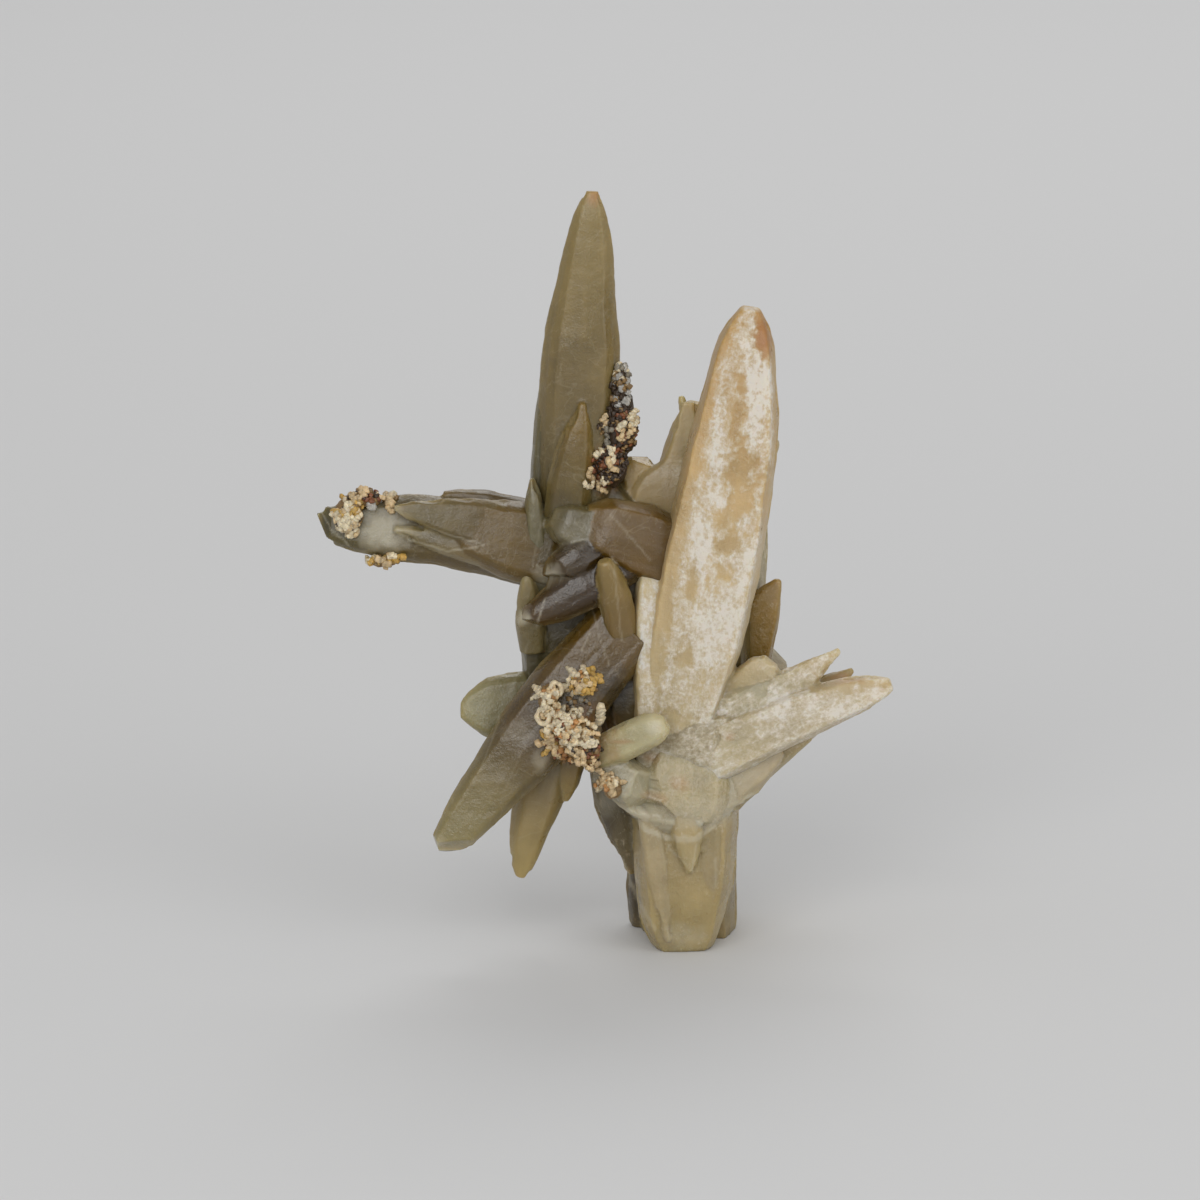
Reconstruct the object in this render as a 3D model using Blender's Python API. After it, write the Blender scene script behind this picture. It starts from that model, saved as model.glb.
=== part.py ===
"""A calcite specimen: tapering blades of calcite grown together, with small drusy crusts on them.

Every crystal is placed as the front view shows it: across and up in millimetres in that view, and its
depth. The view looks down on the specimen a little, so one function turns such a point to the world.
"""

import math
import random

import bmesh
import bpy
from mathutils import Matrix, Vector

MM = 0.001

# Driving dimensions of the whole specimen
VIEW_TILT = math.radians(14)
FOOT_MIDDLE_BACK = 12.0
GAP = 0.35
FLOOR_BLOCK = 200.0

# How a crystal's half width changes from root to end: (fraction of its length, left, right)
SPEAR = ((0, 0.85, 0.85), (0.4, 1, 1), (0.68, 0.84, 0.8), (0.87, 0.5, 0.5), (1, 0.1, 0.1))
LEAF = ((0, 0.8, 0.8), (0.4, 1, 1), (0.72, 0.7, 0.66), (0.9, 0.34, 0.32), (1, 0.09, 0.09))
STUB = ((0, 0.95, 0.95), (0.55, 1, 1), (0.86, 0.78, 0.74), (1, 0.36, 0.36))

SPIRE = (
    (0, 5.6, 5.6), (0.24, 6.4, 6.1), (0.48, 6.5, 5.9), (0.6, 6.3, 5.7), (0.68, 5.5, 4.7),
    (0.77, 4.5, 4.1), (0.86, 3.5, 3.6), (0.95, 2.4, 2.3), (1, 0.7, 0.9),
)
SPIRE_LEAF = ((0, 3.4, 3.0), (0.35, 3.7, 3.0), (0.57, 3.0, 2.5), (0.78, 1.9, 1.8), (1, 0.25, 0.25))
WHITE_BLADE = (
    (0, 6.0, 4.4), (0.14, 6.6, 5.2), (0.28, 7.5, 7.6), (0.44, 7.6, 8.4), (0.6, 6.4, 8.4),
    (0.7, 6.1, 8.0), (0.79, 5.2, 7.3), (0.85, 4.8, 6.1), (0.92, 4.2, 5.0), (0.96, 3.4, 4.1),
    (1, 1.2, 1.6),
)
ARM = (
    (0, 6.0, 5.5), (0.14, 7.0, 5.8), (0.26, 6.2, 6.0), (0.49, 4.9, 5.8), (0.64, 5.0, 5.5),
    (0.86, 3.7, 3.2), (0.97, 2.2, 1.9), (1, 1.1, 1.0),
)
BIG_TOE = (
    (0, 5.5, 5.5), (0.3, 6.2, 6.6), (0.5, 5.3, 6.4), (0.72, 3.8, 5.1), (0.87, 2.7, 3.9),
    (0.97, 2.1, 2.8), (1, 1.4, 1.8),
)
TOOTH = (
    (0, 3.5, 3.5), (0.5, 3.6, 4.2), (0.7, 2.6, 3.4), (0.85, 1.9, 2.5), (0.95, 1.2, 1.6),
    (1, 0.5, 0.6),
)
UPPER_ARM = (
    (0, 5, 4), (0.36, 4.1, 4), (0.56, 2.6, 3.2), (0.76, 1.5, 2), (0.93, 0.7, 0.8), (1, 0.3, 0.3),
)
LOWER_ARM = (
    (0, 5, 5), (0.33, 4.5, 3.4), (0.6, 4.4, 3), (0.84, 3.2, 2.4), (0.95, 1.9, 1.8), (1, 0.8, 0.8),
)
UNDER_FIN = (
    (0, 3, 5.5), (0.23, 2.8, 5.2), (0.45, 2.4, 3.6), (0.68, 1.7, 2.1), (0.9, 0.9, 1), (1, 0.3, 0.3),
)
RIGHT_FIN = ((0, 3.6, 2.4), (0.4, 4.4, 2.3), (0.75, 4.0, 1.5), (0.88, 3.2, 1.0), (1, 0.3, 0.25))
HEART_LEAF = ((0, 1.6, 1.8), (0.35, 2.5, 2.7), (0.7, 2.3, 2.7), (0.9, 1.7, 1.8), (1, 1.0, 0.7))
GREEN_LEAF = ((0, 1.9, 1.9), (0.4, 2.3, 2.3), (0.8, 2.2, 2.1), (0.95, 1.6, 1.5), (1, 0.9, 0.9))
BELLY = (
    (0, 4.6, 4.6), (0.4, 8, 9.2), (0.6, 8.9, 9.5), (0.77, 8.5, 8.0), (0.91, 5.7, 4.6), (1, 2, 1.8),
)
LOBE = ((0, 4.4, 6), (0.45, 4.4, 5.6), (0.74, 3.2, 4.6), (0.93, 1.4, 2.6), (1, 0.6, 1.2))
FOOT = (
    (0, 9.2, 7.4), (0.2, 9.2, 7.5), (0.46, 8.4, 7.7), (0.58, 7.8, 7.6), (0.72, 6.0, 7.3),
    (0.85, 4.6, 5.6), (0.92, 2.2, 3.4), (1, 1.4, 2.2),
)
BACK_FOOT = ((0, 7.4, 7.4), (0.6, 8.0, 7.6), (0.84, 7.8, 7.2), (1, 5.6, 6.0))

# name: root, end (across, up, back), scale of its half widths, depth, half widths, flat part of its face
CRYSTALS = {
    "heart_lower": ((-3, 25, 14), (-9, 58, 12), 8.6, 15, STUB, 0.5),
    "heart_upper": ((-5, 42, 13.5), (-14.6, 75, 12.5), 8.6, 13, STUB, 0.5),
    "heart_right": ((1.4, 28, 17), (2, 76, 18), 8.4, 19, STUB, 0.5),
    "waist": ((-15, 34, 12), (-20, 66, 11.5), 6.6, 7, STUB, 0.5),
    "spire": ((-18.9, 63.5, 12), (-15.7, 121.8, 11), 1, 7.8, SPIRE, 0.5),
    "spire_left_growth": ((-24, 66.7, 13), (-22.9, 95, 12.5), 1.7, 6, SPEAR, 0.4),
    "spire_right_growth": ((-14.4, 76, 12.5), (-12, 102, 12), 1.7, 6, SPEAR, 0.4),
    "spire_leaf": ((-19.8, 69.9, 8), (-17.1, 88.3, 6.8), 1, 5, SPIRE_LEAF, 0.35),
    "fork_right": ((-5, 61, 15), (1.2, 88.6, 15), 4.0, 7, STUB, 0.5),
    "fork_left": ((-3, 64, 14.5), (-9.8, 80.8, 14), 3.6, 7, STUB, 0.5),
    "fork_hook": ((-0.6, 84, 14), (-1.4, 89.6, 13.5), 0.55, 1.2, STUB, 0.5),
    "shoulder_grey": ((-11, 66, 9), (-22.4, 70.6, 6.5), 4.2, 9.5, STUB, 0.45),
    "shoulder_brown": ((1.5, 62.5, 10), (-17.2, 70.2, 6), 5.9, 11, STUB, 0.5),
    "arm": ((-20, 65.9, 12), (-61.1, 69.8, 10), 1, 6.8, ARM, 0.4),
    "arm_front_leaf": ((-24, 64, 9.5), (-47.8, 71, 7.6), 4.2, 4, LEAF, 0.45),
    "arm_shoulder": ((-17, 63.5, 10.5), (-37.8, 69.5, 8.6), 6.2, 7, STUB, 0.45),
    "arm_top_leaf": ((-25, 71, 14), (-39.6, 73.6, 13), 2.1, 4, STUB, 0.4),
    "waist_sliver": ((-23.8, 57, 10), (-25.2, 76.5, 8.5), 2.0, 6, SPEAR, 0.3),
    "waist_left": ((-23.8, 40, 13), (-25.4, 62, 11), 2.5, 8, STUB, 0.4),
    "waist_leaf": ((-25.2, 49, 8.5), (-26.1, 61.6, 6.5), 2.3, 4, LEAF, 0.35),
    "brow_upper": ((-14, 66, 6), (-24.2, 60, 2.5), 3.3, 7, SPEAR, 0.25),
    "brow_long": ((-9, 63.5, 6), (-28, 53, 2), 3.6, 7, SPEAR, 0.25),
    "heart_leaf": ((-10.2, 48, 3), (-13.6, 63.4, 0), 1, 5, HEART_LEAF, 0.3),
    "big_toe": ((-10.4, 53.1, 6), (-40.4, 15.4, -1), 1, 8.0, BIG_TOE, 0.45),
    "tooth": ((-20.8, 38.7, 11), (-27.2, 12.6, 8), 1, 6, TOOTH, 0.3),
    "tooth_right": ((-18.6, 36, 10), (-19.8, 24.8, 8.5), 2.3, 5, LEAF, 0.3),
    "left_lobe": ((-22, 39, 11), (-36.7, 39.2, 8), 1, 4.5, LOBE, 0.5),
    "white_blade": ((-2.9, 29.9, 9), (9.3, 103.4, 9.5), 1, 17, WHITE_BLADE, 0.78),
    "white_finger": ((-6.3, 33, 7), (-6.6, 64.4, 5.5), 2.6, 8, STUB, 0.5),
    "white_root": ((-8, 31.5, 7), (10, 36.5, 5.5), 4.6, 9, STUB, 0.5),
    "blade_knob": ((11.4, 79, 12), (13.6, 82.8, 12), 1.2, 3, STUB, 0.5),
    "right_fin": ((8, 38, 16), (14.2, 60.4, 15), 1, 5, RIGHT_FIN, 0.5),
    "arm_plate": ((6, 39, 8), (12.8, 47.4, 6), 2.3, 3.5, LEAF, 0.5),
    "arm_right_upper": ((1.6, 33.9, 7), (23.8, 49.2, 5), 1, 6, UPPER_ARM, 0.5),
    "arm_right_lower": ((2.4, 32, 6), (32, 43.8, 3), 1, 9, LOWER_ARM, 0.5),
    "arm_right_back": ((9, 34, 14), (26, 46, 12), 2.6, 6, SPEAR, 0.4),
    "under_fin": ((-1, 24, 12), (19.5, 35.2, 11), 1, 13, UNDER_FIN, 0.4),
    "belly": ((0.5, 40, 9.5), (-1.2, 18.7, 3), 1, 11.5, BELLY, 0.35),
    "green_leaf": ((-14.9, 32.4, 1.5), (-3.9, 37.6, -2), 1, 4, GREEN_LEAF, 0.35),
    "clear_lump": ((-13.6, 31, 4), (-5.4, 24.4, 0), 3.5, 8, STUB, 0.4),
    "foot": ((-1.8, 31, 11), (-0.2, -3, 6.5), 1, 17, FOOT, 0.5),
    "foot_behind": ((-1, 34, 18), (-0.2, -3, 18), 1, 16, BACK_FOOT, 0.5),
    "foot_leaf": ((-0.9, 24, 1.2), (0, 13.6, 0.3), 2.4, 2.6, LEAF, 0.3),
    "foot_fin_upper": ((-13.2, 33, 11), (-9.2, 13, 12), 3.7, 4, LEAF, 0.4),
    "foot_fin_lower": ((-6.2, 20, 18), (-7.6, 3, 19.5), 3.0, 7, STUB, 0.4),
    "back_blade": ((2, 32, 21), (8.4, 93, 25), 7.6, 17, SPEAR, 0.5),
    "back_spire": ((-13, 58, 16), (-16.6, 102, 17), 3.8, 8, SPEAR, 0.45),
    "back_spray_high": ((4, 50, 22), (9.6, 84, 42), 6.0, 12, SPEAR, 0.45),
    "back_spray_leaf": ((2, 52, 24), (4.6, 74, 38), 3.4, 7, LEAF, 0.4),
    "back_right": ((5, 40, 20), (11, 47.6, 48), 7.2, 16, SPEAR, 0.45),
    "back_right_leaf": ((8, 42, 20), (12.4, 56, 36), 3.6, 6, LEAF, 0.4),
    "back_arm": ((3, 33.6, 18), (25.5, 42.2, 34), 6.0, 17, SPEAR, 0.4),
    "back_arm_low": ((2, 31, 17), (21.5, 39, 26), 4.8, 11, SPEAR, 0.4),
    "back_low_right": ((4, 32, 18), (6, 31.5, 38), 5.2, 13, STUB, 0.4),
    "back_left": ((-8, 47, 16), (-19, 52, 33), 4.0, 7, SPEAR, 0.4),
    "back_left_leaf": ((-6, 44, 17), (-12, 44, 36), 3.4, 6, LEAF, 0.4),
    "back_upper": ((-7, 58, 16), (-9, 75, 32), 4.4, 8, STUB, 0.4),
    "back_low_left": ((-4, 34, 18), (-8, 27, 32), 4.2, 8, STUB, 0.4),
}

# name: seed, size of a grain, and its lumps: (across, up, back) of the middle, half sizes, grains
CRUSTS = {
    "druse_by_spire": (3, 1.35, (
        ((-10.9, 91, 9.6), (1.7, 4.0, 2.4), 9),
        ((-10.9, 85.2, 9.2), (2.9, 5.2, 2.8), 18),
        ((-12.4, 78.4, 8.4), (3.4, 4.0, 2.6), 18),
    )),
    "druse_front": (2, 1.25, (
        ((-22.6, 41.0, -2.9), (1.9, 3.4, 1.6), 12),
        ((-20.4, 37.0, -2.7), (3.4, 2.6, 1.8), 17),
        ((-17.0, 34.0, -2.5), (3.0, 4.0, 1.9), 18),
    )),
    "druse_front_upper": (21, 1.2, (((-17.4, 44.2, -3.0), (2.1, 1.9, 1.4), 14),)),
    "druse_on_lump": (34, 1.0, (((-12.4, 27.0, -2.2), (1.8, 1.8, 1.3), 10),)),
    "druse_on_arm": (8, 1.25, (
        ((-54.3, 70.8, 7.8), (2.8, 3.2, 2.4), 14),
        ((-51.6, 73.2, 9.2), (2.8, 1.7, 2.4), 10),
    )),
    "druse_under_arm": (13, 1.1, (((-49.2, 63.4, 9.4), (2.4, 1.2, 2.2), 12),)),
}
CRUST_CORE = 0.9
GRAINS_AT = 0.8
SMALLEST_GRAIN, LARGEST_GRAIN = 0.75, 1.35


def seen(across, up, back):
    """The world point, in mm, that the tilted front view shows at (across, up) at this depth."""
    height = (up - back * math.sin(VIEW_TILT)) / math.cos(VIEW_TILT)
    return Vector((across, back - FOOT_MIDDLE_BACK, height))


def add_crystal(bm, root, end, scale, depth, widths, flat, grown=0.0):
    """A closed six-sided crystal, from root to end, with its broad face towards the front view."""
    start, stop = seen(*root), seen(*end)
    along = (stop - start).normalized()
    towards_view = Vector((0, -math.cos(VIEW_TILT), math.sin(VIEW_TILT)))
    right = along.cross(towards_view).normalized()
    front = right.cross(along)
    start -= along * grown
    length = (stop - start).length + grown
    widest = max(left + right_half for _, left, right_half in widths) / 2
    ring = bmesh.ops.create_circle(bm, cap_ends=True, segments=6, radius=1)["verts"]
    cap = ring[0].link_faces[0]
    for step, (part, left_half, right_half) in enumerate(widths):
        if step:
            made = bmesh.ops.extrude_face_region(bm, geom=[cap])["geom"]
            if step > 1:
                bmesh.ops.delete(bm, geom=[cap], context="FACES_ONLY")
            cap = next(item for item in made if isinstance(item, bmesh.types.BMFace))
        place_ring(
            list(cap.verts), start + along * length * part, right, front,
            left_half * scale + grown, right_half * scale + grown,
            depth / 2 * (left_half + right_half) / 2 / widest + grown, flat,
        )


def place_ring(corners, centre, right, front, left_half, right_half, depth_half, flat):
    """Six corners: one at each side, and two on the front and two on the back."""
    section = ((-1, 0), (-flat, 1), (flat, 1), (1, 0), (flat, -1), (-flat, -1))
    for corner, (across, forward) in zip(corners, section):
        half = left_half if across < 0 else right_half
        corner.co = (centre + right * across * half + front * forward * depth_half) * MM


def crystal_shells(grown=0.0):
    """All crystals as closed shells in one mesh; a Boolean joins them."""
    bm = bmesh.new()
    for row in CRYSTALS.values():
        add_crystal(bm, *row, grown=grown)
    bmesh.ops.recalc_face_normals(bm, faces=bm.faces)
    return bm


def crust_shells(seed, size, lumps):
    """A crust: small blocks at all angles over the flattened lumps that bind them."""
    chance = random.Random(seed)
    bm = bmesh.new()
    for middle, half_sizes, grains in lumps:
        for vert in bmesh.ops.create_icosphere(bm, subdivisions=2, radius=1)["verts"]:
            offset = [part * half * CRUST_CORE for part, half in zip(vert.co, half_sizes)]
            vert.co = seen(*(a + b for a, b in zip(middle, offset))) * MM
        for _ in range(grains):
            direction = Vector([chance.gauss(0, 1) for _ in range(3)]).normalized()
            offset = [part * half * GRAINS_AT for part, half in zip(direction, half_sizes)]
            place = seen(*(a + b for a, b in zip(middle, offset))) * MM
            axis = Vector([chance.gauss(0, 1) for _ in range(3)])
            turn = Matrix.Rotation(chance.uniform(0, math.pi), 4, axis)
            width = size * chance.uniform(SMALLEST_GRAIN, LARGEST_GRAIN) * MM
            bmesh.ops.create_cube(bm, size=width, matrix=Matrix.Translation(place) @ turn)
    bmesh.ops.recalc_face_normals(bm, faces=bm.faces)
    return bm


def finish(name, colour, roughness):
    material = bpy.data.materials.new(name)
    material.use_nodes = True
    shader = material.node_tree.nodes["Principled BSDF"]
    shader.inputs["Base Color"].default_value = (*colour, 1)
    shader.inputs["Roughness"].default_value = roughness
    shader.inputs["Metallic"].default_value = 0
    return material


def add_object(name, bm, material=None):
    mesh = bpy.data.meshes.new(name)
    bm.to_mesh(mesh)
    bm.free()
    obj = bpy.data.objects.new(name, mesh)
    bpy.context.collection.objects.link(obj)
    if material:
        mesh.materials.append(material)
    else:
        obj.hide_render = True
        obj.display_type = "WIRE"
    return obj


def cut(obj, cutter):
    """Takes the cutter away, and joins the overlapping shells of obj in the same step."""
    boolean = obj.modifiers.new("cut", "BOOLEAN")
    boolean.operation = "DIFFERENCE"
    boolean.solver = "EXACT"
    boolean.use_self = True
    boolean.object = cutter


def floor_block():
    """Everything under the specimen: the crystals end on its flat top."""
    bm = bmesh.new()
    middle = Matrix.Translation((0, 0, -FLOOR_BLOCK / 2 * MM))
    bmesh.ops.create_cube(bm, size=FLOOR_BLOCK * MM, matrix=middle)
    return add_object("floor_cutter", bm)


def main():
    for obj in list(bpy.data.objects):
        bpy.data.objects.remove(obj)
    calcite = finish("calcite", (0.33, 0.27, 0.18), 0.35)
    druse = finish("drusy crust", (0.62, 0.5, 0.33), 0.6)
    cluster = add_object("calcite_cluster", crystal_shells(), calcite)
    cut(cluster, floor_block())
    room = add_object("crust_cutter", crystal_shells(grown=GAP))
    for name, row in CRUSTS.items():
        cut(add_object(name, crust_shells(*row), druse), room)


main()
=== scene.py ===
"""The looks of a calcite specimen: honey-grey blades, some with a chalky white skin, and drusy crusts.

The blades repeat the CAD table, in the same view and millimetres, with a few thin leaves, laths and
shards added. Each group of blades is grown as closed shells, made one skin by a voxel remesh, then
given its growth laths, chips and frost.
"""

import math
import random
from functools import partial

import bmesh
import bpy
import numpy as np
from mathutils import Euler, Matrix, Vector, noise
from mathutils.bvhtree import BVHTree


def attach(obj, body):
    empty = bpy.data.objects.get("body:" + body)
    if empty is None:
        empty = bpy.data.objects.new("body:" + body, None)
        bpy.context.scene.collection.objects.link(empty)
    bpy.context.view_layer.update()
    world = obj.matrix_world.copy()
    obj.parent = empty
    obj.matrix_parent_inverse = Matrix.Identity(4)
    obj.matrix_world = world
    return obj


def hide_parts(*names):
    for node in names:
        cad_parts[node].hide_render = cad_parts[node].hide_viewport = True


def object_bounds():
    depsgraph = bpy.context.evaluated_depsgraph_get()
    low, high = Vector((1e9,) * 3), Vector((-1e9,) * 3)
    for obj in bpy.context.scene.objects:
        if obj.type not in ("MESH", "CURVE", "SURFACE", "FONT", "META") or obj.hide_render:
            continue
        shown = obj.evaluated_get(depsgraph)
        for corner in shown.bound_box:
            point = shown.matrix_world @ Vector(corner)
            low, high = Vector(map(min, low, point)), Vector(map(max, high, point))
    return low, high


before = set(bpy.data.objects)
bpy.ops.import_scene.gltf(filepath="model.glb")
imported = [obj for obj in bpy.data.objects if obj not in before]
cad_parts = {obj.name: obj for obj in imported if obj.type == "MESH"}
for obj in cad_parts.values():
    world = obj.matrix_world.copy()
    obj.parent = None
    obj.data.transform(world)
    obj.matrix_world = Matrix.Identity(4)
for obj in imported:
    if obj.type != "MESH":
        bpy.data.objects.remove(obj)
cad_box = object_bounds()

MM = 0.001

# The front view looks down by this much; the middle of the foot is this deep in it, in mm
VIEW_TILT = math.radians(14)
TOWARDS_VIEW = Vector((0, -math.cos(VIEW_TILT), math.sin(VIEW_TILT)))
FOOT_MIDDLE_BACK = 12.0

# A blade's shell: how many rings, the flat part of its face against the solid's and at most, how far
# forward its face and its bend stand, half the blunt face along its side, and the wear of its corners,
# all as shares of its half width or half thickness
RINGS = 30
FLAT_GAIN = 0.25
FLAT_MOST = 0.84
FACE_FORWARD = 0.94
BEND_FORWARD = 0.66
EDGE_FACE = 0.16
WORN = 0.015

# The skin over a group of shells: its voxel, what that wears off a half width, how far the finished
# skin is drawn in, and the difference at which two shells lie equally near, in mm
VOXEL = 0.3
SKIN_LOSS = 0.2
DRAWN_IN = 0.03
SAME_GAP = 0.001

# Growth laths on the faces: their width, height, soft side and soft end in mm, the number drawn for a
# blade, and how far and how often they waver
LATH_WIDTH = 3.6
LATH_HEIGHT = 0.08
LATH_SIDE = 0.5
LATH_END = 1.6
LANES = 60
WAVER = 0.35
WAVERS_PER_MM = 0.08

# Relief of the skins: features per mm, then height in mm, of the swells, the ripple and the frost
SWELL, SWELL_HEIGHT = 0.2, 0.16
RIPPLE, RIPPLE_HEIGHT, RIPPLE_SHIFT = 0.8, 0.05, 40.0
FROST, FROST_HEIGHT, FROST_STEEP = 0.9, 0.06, 2.4

# Chips along the sides: one for so many mm of blade, how many times longer than wide, the radius of
# their hollow and how deep they bite, in mm
CHIP_SPACING = 3
CHIP_STRETCH = 2.6
CHIP_ROUND = (0.5, 1.5)
CHIP_BITE = (0.08, 0.35)

# Cleavage faces at each broken end, and the width of the thin rim painted paler as a glow of light passing
# through it, in mm
BREAK_FACES = 4
GLOW_RIM = 0.8

# Sizes in the stone's patterns, in mm. The streaks and the fibres of the chalk follow each blade:
# across, along and through it.
CLOUD = 6.25
CRACK_SPACING = 11.1
FLECK = 0.526
STREAK = (1.54, 20, 1.54)
CHALK_PATCH = 5
CHALK_FIBRE = (1.25, 3.33, 1.25)
PIT = 1.25
PIT_BEND, PIT_BEND_REACH = 1.43, 1.6
GRAIN_DUST = 0.667

# Most of a noise pattern's values lie between these two
NOISE_REACH = {"From Min": 0.3, "From Max": 0.7}

# How a blade's half width changes from root to end: (fraction of its length, left, right)
SPEAR = ((0, 0.85, 0.85), (0.4, 1, 1), (0.68, 0.84, 0.8), (0.87, 0.5, 0.5), (1, 0.1, 0.1))
LEAF = ((0, 0.8, 0.8), (0.4, 1, 1), (0.72, 0.7, 0.66), (0.9, 0.34, 0.32), (1, 0.09, 0.09))
STUB = ((0, 0.95, 0.95), (0.55, 1, 1), (0.86, 0.78, 0.74), (1, 0.36, 0.36))

SPIRE = (
    (0, 5.6, 5.6), (0.24, 6.4, 6.1), (0.48, 6.5, 5.9), (0.6, 6.3, 5.7), (0.68, 5.5, 4.7),
    (0.77, 4.5, 4.1), (0.86, 3.5, 3.6), (0.95, 2.4, 2.3), (1, 0.7, 0.9),
)
SPIRE_LEAF = ((0, 3.4, 3.0), (0.35, 3.7, 3.0), (0.57, 3.0, 2.5), (0.78, 1.9, 1.8), (1, 0.25, 0.25))
WHITE_BLADE = (
    (0, 6.0, 4.4), (0.14, 6.6, 5.2), (0.28, 7.5, 7.6), (0.44, 7.6, 8.4), (0.6, 6.4, 8.4),
    (0.7, 6.1, 8.0), (0.79, 5.2, 7.3), (0.85, 4.8, 6.1), (0.92, 4.2, 5.0), (0.96, 3.4, 4.1),
    (1, 1.2, 1.6),
)
ARM = (
    (0, 6.0, 5.5), (0.14, 7.0, 5.8), (0.26, 6.2, 6.0), (0.49, 4.9, 5.8), (0.64, 5.0, 5.5),
    (0.86, 3.7, 3.2), (0.97, 2.2, 1.9), (1, 1.1, 1.0),
)
BIG_TOE = (
    (0, 5.5, 5.5), (0.3, 6.2, 6.6), (0.5, 5.3, 6.4), (0.72, 3.8, 5.1), (0.87, 2.7, 3.9),
    (0.97, 2.1, 2.8), (1, 1.4, 1.8),
)
TOOTH = (
    (0, 3.5, 3.5), (0.5, 3.6, 4.2), (0.7, 2.6, 3.4), (0.85, 1.9, 2.5), (0.95, 1.2, 1.6),
    (1, 0.5, 0.6),
)
UPPER_ARM = (
    (0, 5, 4), (0.36, 4.1, 4), (0.56, 2.6, 3.2), (0.76, 1.5, 2), (0.93, 0.7, 0.8), (1, 0.3, 0.3),
)
LOWER_ARM = (
    (0, 5, 5), (0.33, 4.5, 3.4), (0.6, 4.4, 3), (0.84, 3.2, 2.4), (0.95, 1.9, 1.8), (1, 0.8, 0.8),
)
FORK_PLATE = (
    (0, 10, 4), (0.5, 8.6, 4), (0.6, 7.2, 3.6), (0.66, 3.4, 3.2), (0.75, 2.6, 3), (0.86, 2.0, 2.2),
    (1, 0.8, 0.8),
)
ARM_LEAF = (
    (0, 4.4, 5), (0.33, 3.6, 4.6), (0.53, 2.8, 4.2), (0.73, 2.1, 3.0), (0.9, 1.2, 1.6), (1, 0.3, 0.3),
)
UNDER_FIN = (
    (0, 3, 5.5), (0.23, 2.8, 5.2), (0.45, 2.4, 3.6), (0.68, 1.7, 2.1), (0.9, 0.9, 1), (1, 0.3, 0.3),
)
RIGHT_FIN = ((0, 3.6, 2.4), (0.4, 4.4, 2.3), (0.75, 4.0, 1.5), (0.88, 3.2, 1.0), (1, 0.3, 0.25))
HEART_LEAF = ((0, 1.6, 1.8), (0.35, 2.5, 2.7), (0.7, 2.3, 2.7), (0.9, 1.7, 1.8), (1, 1.0, 0.7))
PALE_LEAF = ((0, 1.9, 1.9), (0.4, 2.3, 2.3), (0.8, 2.2, 2.1), (0.95, 1.6, 1.5), (1, 0.9, 0.9))
BELLY = (
    (0, 4.6, 4.6), (0.4, 8, 9.2), (0.6, 8.9, 9.5), (0.77, 8.5, 8.0), (0.91, 5.7, 4.6), (1, 2, 1.8),
)
BELLY_RIM = (
    (0, 1.5, 0.6), (0.03, 2, 1.6), (0.16, 4, 4.8), (0.32, 5, 6.4), (0.52, 5, 7.1), (0.63, 5, 5.8),
    (0.76, 4, 3.9), (0.94, 3, 1.0), (1, 1, 0.5),
)
BELLY_WING = ((0, 4, 5), (0.35, 4, 5.6), (0.55, 4, 5.2), (0.75, 3, 4), (0.92, 2, 2.4), (1, 1, 1))
LOBE = ((0, 4.4, 6), (0.45, 4.4, 5.6), (0.74, 3.2, 4.6), (0.93, 1.4, 2.6), (1, 0.6, 1.2))
FOOT = (
    (0, 9.2, 7.4), (0.2, 9.2, 7.5), (0.46, 8.4, 7.7), (0.58, 7.8, 7.6), (0.72, 6.0, 7.3),
    (0.85, 4.6, 5.6), (0.92, 2.2, 3.4), (1, 1.4, 2.2),
)
BACK_FOOT = ((0, 7.4, 7.4), (0.6, 8.0, 7.6), (0.84, 7.8, 7.2), (1, 5.6, 6.0))

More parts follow.
